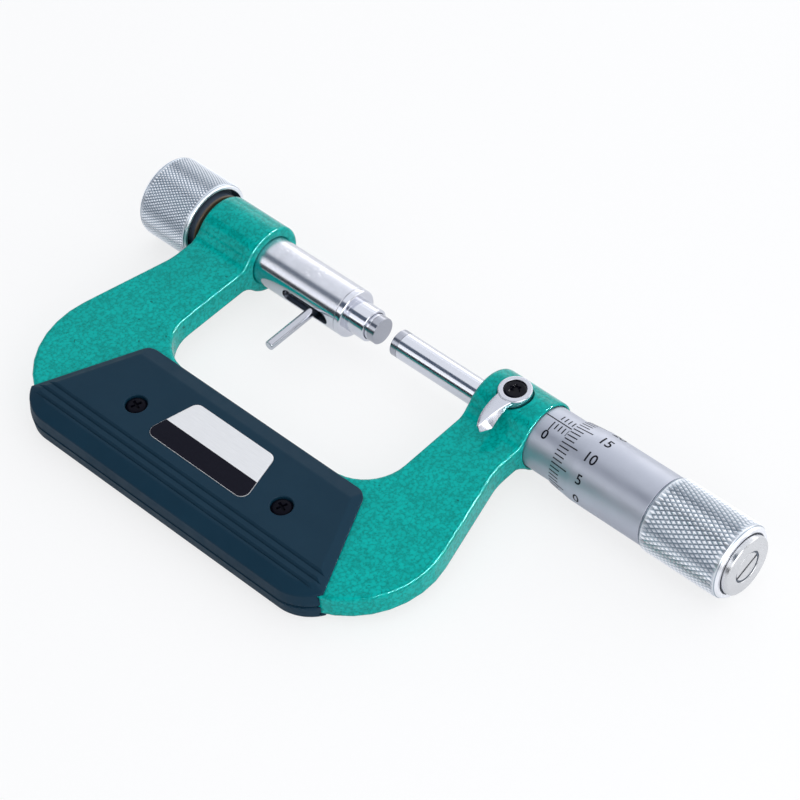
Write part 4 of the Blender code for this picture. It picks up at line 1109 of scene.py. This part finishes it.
def turned_bar(name, station, half_width, half_length, turn):
    """A straight bar across the axis for the driver's slot."""
    across = np.array((0.0, math.cos(turn), math.sin(turn)))
    beside = np.array((0.0, -math.sin(turn), math.cos(turn)))
    points = []
    for x in station:
        for u, v in ((-1, -1), (1, -1), (1, 1), (-1, 1)):
            points.append(np.array((x, 0.0, 0.0)) + u * half_length * across + v * half_width * beside)
    faces = [(0, 1, 5, 4), (1, 2, 6, 5), (2, 3, 7, 6), (3, 0, 4, 7), (3, 2, 1, 0), (4, 5, 6, 7)]
    return mesh_piece(name, np.array(points), [np.array(faces)], disc_steel, crease=1.0)


cut_away(end_screw, turned_bar("tool_driver", turn=SLOT_TURN, **DRIVER_SLOT))
print("measuring side: 6 pieces and 2 dark rings")

# %% [markdown]
# The grips are moulded shells. From the front each is a trapezoid with two round noses; its
# top is flat, with a narrow slope along every side and three saw-tooth grooves towards the
# bow. The height at a place is the lowest of these planes, so the shell is a field too, and
# the grid has extra lines where the narrow steps of the grooves are.

# %% Grip shells
GRIP_RIM = 3.7
GRIP_WALL = 3.28
GRIP_IN_Y = -37.8
GRIP_OUT_Y = -68.1
GRIP_HALF = 32.4
GRIP_FLARE = 0.47
GRIP_CENTRE_X = -1.4
NOSE_R = 10.5
NOSE_X = 35.4
NOSE_Y = GRIP_OUT_Y + NOSE_R
SLOPE_WIDTHS = (3.6, 2.2, 3.35)
WALL_DRAFT = 0.32
GROOVES_Y = (-59.75, -61.75, -63.75)
GROOVE_DEPTH = 0.5
GROOVE_RUN = 0.75
GROOVE_STEP = 0.09
GRIP_EDGE = 0.22
GRIP_CORNER = 2.0
GRIP_STEP = 0.42
VALLEY = 0.03
NOSE_SPREAD = math.radians(66.0)
STEEPNESS = 0.93
CLOSEST = 0.03
FINE_LINES = (-0.30, -0.14, -0.045, 0.045, 0.2, 0.45, 0.7, 0.82)
SHELL_FROM_Z = 0.15
SHELL_SEAT_Z = 3.10
SHELL_GAP = 0.12
grip_slant = math.hypot(1.0, GRIP_FLARE)


def lowest(a, b, radius):
    """The lower of two heights, with the valley between them eased."""
    share = np.clip(0.5 + (b - a) / (2 * radius), 0.0, 1.0)
    return b + (a - b) * share - radius * share * (1.0 - share)


def grip_field(x, y, z):
    """Plan outline with drafted walls, and under the lowest of the slopes and grooves."""
    u = np.abs(x - GRIP_CENTRE_X)
    from_side = (u - GRIP_HALF - GRIP_FLARE * (GRIP_IN_Y - y)) / grip_slant
    over = np.maximum(u - NOSE_X, 0.0)
    under = np.minimum(y - NOSE_Y, 0.0)
    from_nose = np.hypot(over, under) - NOSE_R
    turn = np.arctan2(over, -under + 1.0e-6)
    rise = np.clip(turn / NOSE_SPREAD, 0.0, 1.0)
    draft = WALL_DRAFT * z / GRIP_WALL
    plan = round_both(np.maximum(from_side, from_nose + draft), y - GRIP_IN_Y, GRIP_CORNER)
    inner, side, outer = SLOPE_WIDTHS
    height = GRIP_TOP - GRIP_RIM
    in_slope = GRIP_RIM + (GRIP_IN_Y - y) * height / inner
    side_slope = GRIP_RIM - from_side * height / side
    nose_rim = GRIP_WALL + (GRIP_RIM - GRIP_WALL) * rise
    nose_slope = nose_rim - (from_nose + WALL_DRAFT) * (GRIP_TOP - GRIP_WALL) / outer
    top = lowest(lowest(GRIP_TOP, in_slope, VALLEY), lowest(side_slope, nose_slope, VALLEY), VALLEY)
    for groove in GROOVES_Y:
        t = y - groove
        flank = np.where(t > 0, 1.0 - t / GROOVE_RUN, 1.0 + t / GROOVE_STEP)
        top = np.minimum(top, GRIP_TOP - GROOVE_DEPTH * np.clip(flank, 0.0, 1.0))
    shell = round_both(plan, (z - top) * STEEPNESS, GRIP_EDGE)
    room_inside = np.maximum(outline_distance(x, y, frame_outline) - SHELL_GAP, z - SHELL_SEAT_Z)
    return np.maximum(np.maximum(shell, -room_inside), SHELL_FROM_Z - z)


def lines_with(low, high, step, special, fine):
    """Even lines plus fine ones close to each special place, none closer than CLOSEST."""
    places = [even_lines(low, high, step)]
    places += [place + np.array(fine) for place in special]
    together = np.sort(np.concatenate(places))
    keep = np.concatenate([[True], np.diff(together) > CLOSEST])
    return together[keep]


grip_ys = lines_with(GRIP_OUT_Y - 0.5, GRIP_IN_Y + 0.5, 0.40, GROOVES_Y, FINE_LINES)
grip_xs = even_lines(-48.0, 45.2, GRIP_STEP)
grip_zs = np.concatenate([even_lines(-0.1, 2.9, 0.6), even_lines(3.03, 4.8, 0.16)])
grip_points, grip_faces = net_over(grip_field, grip_xs, grip_ys, grip_zs)
print("grip net:", len(grip_faces), "faces")

# %% [markdown]
# One net serves both shells: the rear one is the front one mirrored through the frame's middle
# plane. The screws' recesses and the label's pocket are cut afterwards, because a round well
# in the field would need a much finer grid.

# %% Grips with their recesses
SCREWS_X = (-23.4, 20.6)
SCREW_Y = -52.15
RECESS_FLOOR = 3.3
LABEL_CORNERS = [(-16.5, -56.4), (13.7, -56.4), (10.4, -43.5), (-13.2, -43.5)]
LABEL_ROUND = 2.0
LABEL_GAP = 0.08
LABEL_FLOOR = 4.33
LABEL_TOP = 4.68


def recess_tool(name, x, side):
    """The round recess of a screw: a straight well whose mouth is broken by a cone."""
    return turned(name, [
        (side * RECESS_FLOOR, 0.0), (side * RECESS_FLOOR, 2.5), (side * 4.42, 2.55),
        (side * 5.2, 3.33), (side * 5.2, 0.0)], plastic, sides=72, axis="Z", centre=(x, SCREW_Y, 0.0))


def grip_shell(name, side):
    """One shell; side is 1 for the labelled face and -1 for the other."""
    shell = mesh_piece(name, grip_points * np.array((1, 1, side)), [grip_faces], plastic, crease=24.0)
    tools = [recess_tool(f"tool_{name}_{k}", x, side) for k, x in enumerate(SCREWS_X)]
    if side > 0:
        pocket = corner_arcs([(*corner, LABEL_ROUND) for corner in LABEL_CORNERS])
        outward = pocket - pocket.mean(0)
        grown = pocket + LABEL_GAP * outward / np.abs(outward).max(0)
        tools.append(upright_bar(f"tool_{name}_label", grown, LABEL_FLOOR - 0.02, 6.0, plastic))
    return cut_away(shell, *tools, crease=24.0)


for node, name, side in (("front_grip", "grip_shell_front", 1), ("rear_grip", "grip_shell_rear", -1)):
    grip = stand_for(grip_shell(name, side), node)
    print(name, len(grip.data.polygons), "faces")

# %% [markdown]
# The label is a thin brushed plate let into the grip, a light field over a black band. The
# plate is a stack of outlines drawn in towards its middle, so its edge catches the light. The
# band is a second sheet a hair above it, which keeps the line between them sharp.

# %% Label
LABEL_SPLIT_Y = -51.05
LABEL_EDGE = 0.07
PLATE_EDGE = 0.05


def plate(name, corners, rounding, low, high, finish):
    """A flat plate with round corners, its upper edge broken: outlines of (level, drawn in)."""
    outline = corner_arcs([(*corner, rounding) for corner in corners], steps=8)
    middle = outline.mean(0)
    edge = PLATE_EDGE
    levels = [(low, 0.0), (high - edge, 0.0), (high - edge * 0.3, edge * 0.3), (high, edge), (high, 0.5)]
    rows = []
    for level, drawn_in in levels:
        reach = np.linalg.norm(outline - middle, axis=1)[:, None]
        loop = middle + (outline - middle) * (1.0 - drawn_in / reach)
        rows.append(np.column_stack([loop, np.full(len(loop), level)]))
    centre_low = np.tile((*middle, low), (len(outline), 1))
    centre_high = np.tile((*middle, high), (len(outline), 1))
    grid = np.stack([centre_low, *rows, centre_high])
    faces = grid_faces(len(grid), len(outline))
    return mesh_piece(name, grid.reshape(-1, 3), [faces], finish, crease=30.0)


def label_finish():
    """Brushed light metal: long fine strokes along X."""
    brushed = Finish("brushed_plate", (0.78, 0.78, 0.79), metallic=0.55, roughness=0.36)
    strokes = brushed.noise(0.12, detail=4.0, place=brushed.stretched(0.03, 1.0, 1.0))
    brushed.color(brushed.blend(strokes, (0.66, 0.66, 0.67), (0.86, 0.86, 0.87)))
    brushed.bump(strokes, 0.002, 0.6)
    return brushed.material


def inset(corners, amount):
    """The corners of the outline drawn in by an amount on every side."""
    loop = np.array(corners, float)
    ahead = np.roll(loop, -1, 0) - loop
    ahead /= np.linalg.norm(ahead, axis=1)[:, None]
    inward = np.column_stack([-ahead[:, 1], ahead[:, 0]])
    before = np.roll(inward, 1, 0)
    turn = 1.0 + (inward * before).sum(1)
    return loop + amount * (inward + before) / turn[:, None]


label_plate = plate("label_plate", LABEL_CORNERS, LABEL_ROUND, LABEL_FLOOR, LABEL_TOP, label_finish())
stand_for(label_plate, "range_label")
low_left, low_right, high_right, high_left = inset(LABEL_CORNERS, LABEL_EDGE)
share = (LABEL_SPLIT_Y - low_left[1]) / (high_left[1] - low_left[1])
low_round = LABEL_ROUND - LABEL_EDGE
band = corner_arcs([(*low_left, low_round), (*low_right, low_round),
                    (*(low_right + (high_right - low_right) * share), 0),
                    (*(low_left + (high_left - low_left) * share), 0)])
label_black = ink_finish("label_black", (0.002, 0.002, 0.007))
band_piece = upright_bar("label_band", band, LABEL_TOP - 0.05, LABEL_TOP + 0.02, label_black)
ride_on(band_piece, "frame")
print("label:", len(label_plate.data.polygons), "faces")

# %% [markdown]
# Screws. A driver recess is drawn in polar form: its wall is the radius as a function of the
# angle, a cross for the grip screws and six lobes for the lock's screw. The head is then one
# grid from the rim over the crown and down into the recess.

# %% Screw heads
SCREW_SIDES = 144
MOUTH = 1.04
NARROWED = 0.86
PAN_R = 2.35
PAN_TURN = 0.35
CROSS_ARM = 0.55
CROSS_HALF = 0.13
LOCK_HEAD_R = 2.5
LOBE_MIDDLE = 0.47
LOBE_SWING = 0.09
SMALL = 1.0e-6


def cross_radius(angle):
    """Distance from the middle to the wall of a cross with four equal arms, turned a little."""
    off_axis = np.abs((angle + PAN_TURN + math.pi / 4) % (math.pi / 2) - math.pi / 4)
    side = PAN_R * CROSS_HALF / np.maximum(np.sin(off_axis), SMALL)
    return np.minimum(PAN_R * CROSS_ARM / np.cos(off_axis), side)


def lobe_radius(angle):
    """Six round lobes: the wall swings in and out six times on its way round."""
    return LOCK_HEAD_R * LOBE_MIDDLE + LOCK_HEAD_R * LOBE_SWING * np.cos(6 * angle)


def driven_screw(name, wall, crown, depth, shank, finish, centre, side=1):
    """Crown is a profile (height, radius) from the underside to the recess; wall(angle) its edge."""
    angle = np.arange(SCREW_SIDES) * 2 * math.pi / SCREW_SIDES
    edge = wall(angle)
    rows = [(height, np.full(SCREW_SIDES, radius)) for height, radius in [*shank, *eased(crown)]]
    top, flat = rows[-1]
    if flat.min() < (edge * MOUTH).max():
        raise ValueError("the recess is wider than the crown's flat")
    rows += [(top, edge * MOUTH), (top - 0.04, edge), (top - depth, edge * NARROWED),
             (top - depth - 0.15, edge * 0.0)]
    grid = np.stack([np.stack([centre[0] + radius * np.cos(angle), centre[1] + radius * np.sin(angle),
                               np.full(SCREW_SIDES, side * height)], -1) for height, radius in rows])
    faces = grid_faces(len(rows), SCREW_SIDES)
    return mesh_piece(name, grid.reshape(-1, 3), [faces], finish, crease=32.0)


def pan_screw(name, x, side):
    """A grip screw: a pan head with a cross."""
    shank = [(0.5, 0.0), (0.5, 1.2), (3.35, 1.2)]
    crown = [(3.35, PAN_R, 0.1), (3.85, PAN_R, 0.15), (4.17, 1.95, 0.3), (4.3, 1.42)]
    return driven_screw(name, cross_radius, crown, 0.6, shank, black_oxide, (x, SCREW_Y), side)


for side, word in ((1, "front"), (-1, "rear")):
    for x, place in zip(SCREWS_X, ("left", "right")):
        stand_for(pan_screw(f"{word}_screw_{place}", x, side), f"{word}_grip_screw_{place}")
lock_screw = driven_screw(
    "lock_screw_black", lobe_radius,
    [(8.55, LOCK_HEAD_R, 0.08), (9.2, LOCK_HEAD_R, 0.12), (9.42, 2.1, 0.1), (9.45, 1.8)], 0.7,
    [(6.0, 0.0), (6.0, 0.8), (8.55, 0.8)], oiled_black, (LOCK_X, 0.0))
stand_for(lock_screw, "lock_screw")
print("screws: 5")

# %% [markdown]
# The lock lever is a small cast horn on a round hub. Sections are laid out along the arm, each
# with a ridge, and the arm starts inside the wall of the turned hub, so the two need no cut.
# The lamp for gloss shines on the casting and the lock's screw alone: light linking keeps it
# off the other pieces, which have no white lines in the photograph.

# %% Lock lever
HUB_R = 3.75
HUB_TOP = 9.5
HUB_WALL = 3.2
LEVER_TIP_Y = -11.8
RIDGE_HALF = 0.35
TIP_BULGE = 0.12


def lever_sections(count):
    """Sections of the horn, each (left, right, ridge) by its share t of the way to the tip.

    The left edge curls in as t to the power 3.2, and the ridge leans over it and falls off as
    (1 - t) to the power 2.4. The right edge is a parabola that spreads to a heel and is cut
    straight back to the tip. The first section lies on a circle inside the hub's wall, the
    last one is straight."""
    t = np.linspace(0.0, 1.0, count)
    left = -2.3 + 1.95 * t ** 3.2
    ridge = 1.75 * (1.0 - t) ** 2.4
    ridge_half = RIDGE_HALF * (1.0 - 0.6 * t)
    heel = 1.5 + 2.6 * (t - 0.32) ** 2
    right = np.minimum(np.maximum(heel, ridge + ridge_half + 0.12), 0.55 + 6.6 * (1.0 - t))
    top = 9.35 - 1.25 * t ** 1.5
    low = 8.5 - 2.2 * t
    outlines = []
    for k in range(count):
        loop = corner_arcs([
            (left[k] + 0.3, low[k] - 0.3, 0.12), (right[k] - 0.2, low[k] - 0.3, 0.06),
            (right[k], low[k], 0.06), (ridge[k] + ridge_half[k], top[k] - 0.15, 0.45),
            (ridge[k] - ridge_half[k], top[k], 0.45), (left[k], top[k] - 0.2, 0.15)], steps=4)
        start = -np.sqrt(np.maximum(HUB_WALL ** 2 - loop[:, 0] ** 2, 0.0))
        y = start + (LEVER_TIP_Y - start) * t[k]
        outlines.append(np.column_stack([LOCK_X + loop[:, 0], y, loop[:, 1]]))
    return np.array(outlines)


sections = lever_sections(48)
around = sections.shape[1]
root, tip = [np.repeat(section.mean(0)[None], around, 0) for section in (sections[0], sections[-1])]
blunt = 0.82 * sections[-1] + 0.18 * tip
blunt[:, 1] -= TIP_BULGE
tip[:, 1] -= TIP_BULGE
grid = np.concatenate([root[None], sections, blunt[None], tip[None]])
arm = mesh_piece("lock_lever_arm", grid.reshape(-1, 3), [grid_faces(len(grid), around)], satin_nickel,
                 crease=40.0)
hub = turned_node("lock_lever", "lock_lever_hub", [
    (6.6, 1.55), (6.6, HUB_R, 0.2), (HUB_TOP, HUB_R, 0.35), (HUB_TOP, 2.6, 0.15), (8.5, 2.6), (8.5, 0.9),
    (8.1, 0.9), (8.1, 1.55)], satin_nickel, sides=128, closed=True, axis="Z", centre=(LOCK_X, 0, 0))
ride_on(arm, "lock")
shining = bpy.data.collections.new("shining_pieces")
for piece in (casting, lock_screw):
    shining.objects.link(piece)
glint_lamp.light_linking.receiver_collection = shining
print("lever:", len(arm.data.polygons), len(hub.data.polygons))

# %% [markdown]
# Graduations are engraved and filled with black. Each line is a thin curved bar that stands a
# hair above the metal, and the numbers are flat text that is made a mesh, cut into narrow
# strips and bent round the cylinder. A picture of the scale would blur when seen close.

# %% Graduations
DATUM_TURN = -2.8
SLEEVE_ZERO = 50.8
LINE_PROUD = 0.012
LINE_SUNK = 0.04
THIN = 0.27
BAR_SECTIONS = 7
DATUM_ENDS = (47.95, 72.0)
SLEEVE_MARKS = 22
MARKS_FROM = 0.62
FULL_REACH = 2.2
FIFTH_REACH = 3.05
HALF_REACH = 2.1


def on_cylinder(station, turn, radius):
    """Turn is counted in degrees from the top, positive towards the grip."""
    angle = np.radians(turn)
    return np.stack([station, -radius * np.sin(angle), radius * np.cos(angle)], -1)


def bar_lines(name, bars, radius_at, finish):
    """Bars of (station from, to, turn from, to): each a closed strip of a few sections."""
    points = []
    faces = []
    steps = BAR_SECTIONS
    for first, last, low, high in bars:
        base = len(points) * 4 * steps
        if last - first > math.radians(high - low) * SLEEVE_R:
            station = np.linspace(first, last, steps)
            corners = [(station, low), (station, high)]
        else:
            turn = np.linspace(low, high, steps)
            corners = [(np.full(steps, first), turn), (np.full(steps, last), turn)]
        loop = []
        for (station, turn), lift in ((corners[0], -LINE_SUNK), (corners[1], -LINE_SUNK),
                                      (corners[1], LINE_PROUD), (corners[0], LINE_PROUD)):
            radius = radius_at(np.asarray(station, float)) + lift
            loop.append(on_cylinder(np.broadcast_to(station, steps), np.broadcast_to(turn, steps),
                                    np.broadcast_to(radius, steps)))
        points.append(np.stack(loop, 1).reshape(-1, 3))
        quads = grid_faces(steps, 4)
        caps = np.array([[0, 1, 2, 3], [4 * steps - 1, 4 * steps - 2, 4 * steps - 3, 4 * steps - 4]])
        faces.append(np.concatenate([quads, caps]) + base)
    return mesh_piece(name, np.concatenate(points), [np.concatenate(faces)], finish, crease=30.0)


def degrees(length, radius):
    """The turn that a length takes on a cylinder."""
    return math.degrees(length / radius)


half = THIN / 2
half_turn = degrees(half, SLEEVE_R)
sleeve_bars = [(*DATUM_ENDS, DATUM_TURN - half_turn, DATUM_TURN + half_turn)]
for k in range(SLEEVE_MARKS):
    place = SLEEVE_ZERO + k
    reach = FIFTH_REACH if k % 5 == 0 else FULL_REACH
    sleeve_bars.append((place - half, place + half, DATUM_TURN + degrees(MARKS_FROM, SLEEVE_R),
                        DATUM_TURN + degrees(reach, SLEEVE_R)))
    sleeve_bars.append((place + 0.5 - half, place + 0.5 + half, DATUM_TURN - degrees(HALF_REACH, SLEEVE_R),
                        DATUM_TURN - degrees(MARKS_FROM, SLEEVE_R)))
sleeve_marks = bar_lines("sleeve_marks", sleeve_bars, lambda station: np.full(np.shape(station), SLEEVE_R),
                         black_ink)
ride_on(sleeve_marks, "frame")
print("lines on the sleeve:", len(sleeve_bars))

# %% [markdown]
# Fifty divisions go round the thimble's bevel, each fifth one longer. The bars follow the
# bevel, so their radius depends on the station. The thimble is printed as it stands in the
# photograph, a quarter of a division short of fourteen.

# %% Graduations of the thimble
DIVISIONS = 50
DIVISION = 360.0 / DIVISIONS
READING = 13.75
MARK_START = 55.15
MARK_REACH = 2.7
FIFTH_MARK_REACH = 4.45
MARK_R = 7.9


def bevel_radius(station):
    """The thimble's radius: it rises evenly along the bevel and then stays."""
    share = np.clip((station - BEVEL_START[0]) / (BEVEL_END[0] - BEVEL_START[0]), 0.0, 1.0)
    return BEVEL_START[1] + (BEVEL_END[1] - BEVEL_START[1]) * share


def division_turn(number):
    """Where a division stands when the thimble shows the reading at the datum line."""
    return DATUM_TURN + (READING - number) * DIVISION


thimble_bars = []
wide = degrees(half, MARK_R)
for k in range(DIVISIONS):
    turn = division_turn(k)
    reach = FIFTH_MARK_REACH if k % 5 == 0 else MARK_REACH
    thimble_bars.append((MARK_START, MARK_START + reach, turn - wide, turn + wide))
thimble_marks = bar_lines("thimble_marks", thimble_bars, bevel_radius, black_ink)
ride_on(thimble_marks, "thimble")
print("lines on the thimble:", len(thimble_bars))

# %% [markdown]
# Plain numbers for both scales. Straight text bent by a modifier would do as well, but the
# bend is only a sine and a cosine, and the text is a mesh before it gets its place.

# %% Numbers
CAPITAL_HEIGHT = 0.70
STRIP = 0.25
HALF_DEPTH = 0.02
WELD = 1.0e-4
SLEEVE_DIGITS_UP = 4.3
THIMBLE_DIGITS_X = 63.1


def flat_text(name, text, height, thin):
    """Text as a thin flat mesh in millimetres, upright along Y."""
    curve = bpy.data.curves.new(name, "FONT")
    curve.body = text
    curve.size = height / CAPITAL_HEIGHT
    curve.align_x = "CENTER"
    curve.align_y = "CENTER"
    curve.extrude = HALF_DEPTH
    curve.offset = thin
    curve.resolution_u = 6
    flat = put_in_scene(name, curve)
    depsgraph = bpy.context.evaluated_depsgraph_get()
    mesh = bpy.data.meshes.new_from_object(flat.evaluated_get(depsgraph))
    bpy.data.objects.remove(flat)
    bpy.data.curves.remove(curve)
    return mesh


def bent_number(name, text, station, turn, radius, height, thin):
    """Text cut into strips and bent: along X it keeps its length, up it goes round."""
    mesh = flat_text(name, text, height, thin)
    strips = bmesh.new()
    strips.from_mesh(mesh)
    for level in np.arange(-height, height, STRIP):
        bmesh.ops.bisect_plane(strips, geom=strips.verts[:] + strips.edges[:] + strips.faces[:],
                               plane_co=(0, level, 0), plane_no=(0, 1, 0))
    bmesh.ops.remove_doubles(strips, verts=strips.verts, dist=WELD)
    strips.to_mesh(mesh)
    strips.free()
    points = np.zeros(len(mesh.vertices) * 3)
    mesh.vertices.foreach_get("co", points)
    x, y, z = points.reshape(-1, 3).T
    bent = on_cylinder(station + x, turn - np.degrees(y / radius), radius + LINE_PROUD - HALF_DEPTH + z)
    mesh.vertices.foreach_set("co", (bent * MM).ravel())
    return put_in_scene(name, mesh)


def joined(name, pieces, finish):
    """Several pieces made one."""
    together = bmesh.new()
    for piece in pieces:
        together.from_mesh(piece.data)
    mesh = bpy.data.meshes.new(name)
    together.to_mesh(mesh)
    together.free()
    for piece in pieces:
        discard(piece)
    return dress(put_in_scene(name, mesh), finish, crease=30.0)


def number_row(name, places, radius, height, thin):
    """Numbers on a cylinder, given as {number: (station, turn)}, joined into one piece."""
    digits = [bent_number(f"{name}_{value}", str(value), *place, radius, height, thin)
              for value, place in places.items()]
    return joined(name, digits, black_ink)


digit_turn = DATUM_TURN + degrees(SLEEVE_DIGITS_UP, SLEEVE_R)
sleeve_places = {value: (SLEEVE_ZERO + value, digit_turn) for value in (0, 5, 10, 15, 20)}
sleeve_numbers = number_row("sleeve_numbers", sleeve_places, SLEEVE_R, 2.05, 0.06)
ride_on(sleeve_numbers, "frame")
thimble_places = {value: (THIMBLE_DIGITS_X, division_turn(value)) for value in range(0, DIVISIONS, 5)}
thimble_numbers = number_row("thimble_numbers", thimble_places, THIMBLE_R, 2.35, 0.04)
ride_on(thimble_numbers, "thimble")
print("numbers:", len(sleeve_places), len(thimble_places))

# %% [markdown]
# Pieces that are hidden inside keep the CAD solids, with a fitting finish.

# %% Hidden pieces
inner_finishes = {
    "anvil_spring": spring_steel, "ratchet_spring": spring_steel, "spring_plug": brass,
    "guide_nut": brass, "adjusting_nut": brass, "lock_pin": pin_steel,
}
for node, finish in inner_finishes.items():
    materials = frame["nodes"][node].data.materials
    materials.clear()
    materials.append(finish)
print("hidden pieces:", len(inner_finishes))
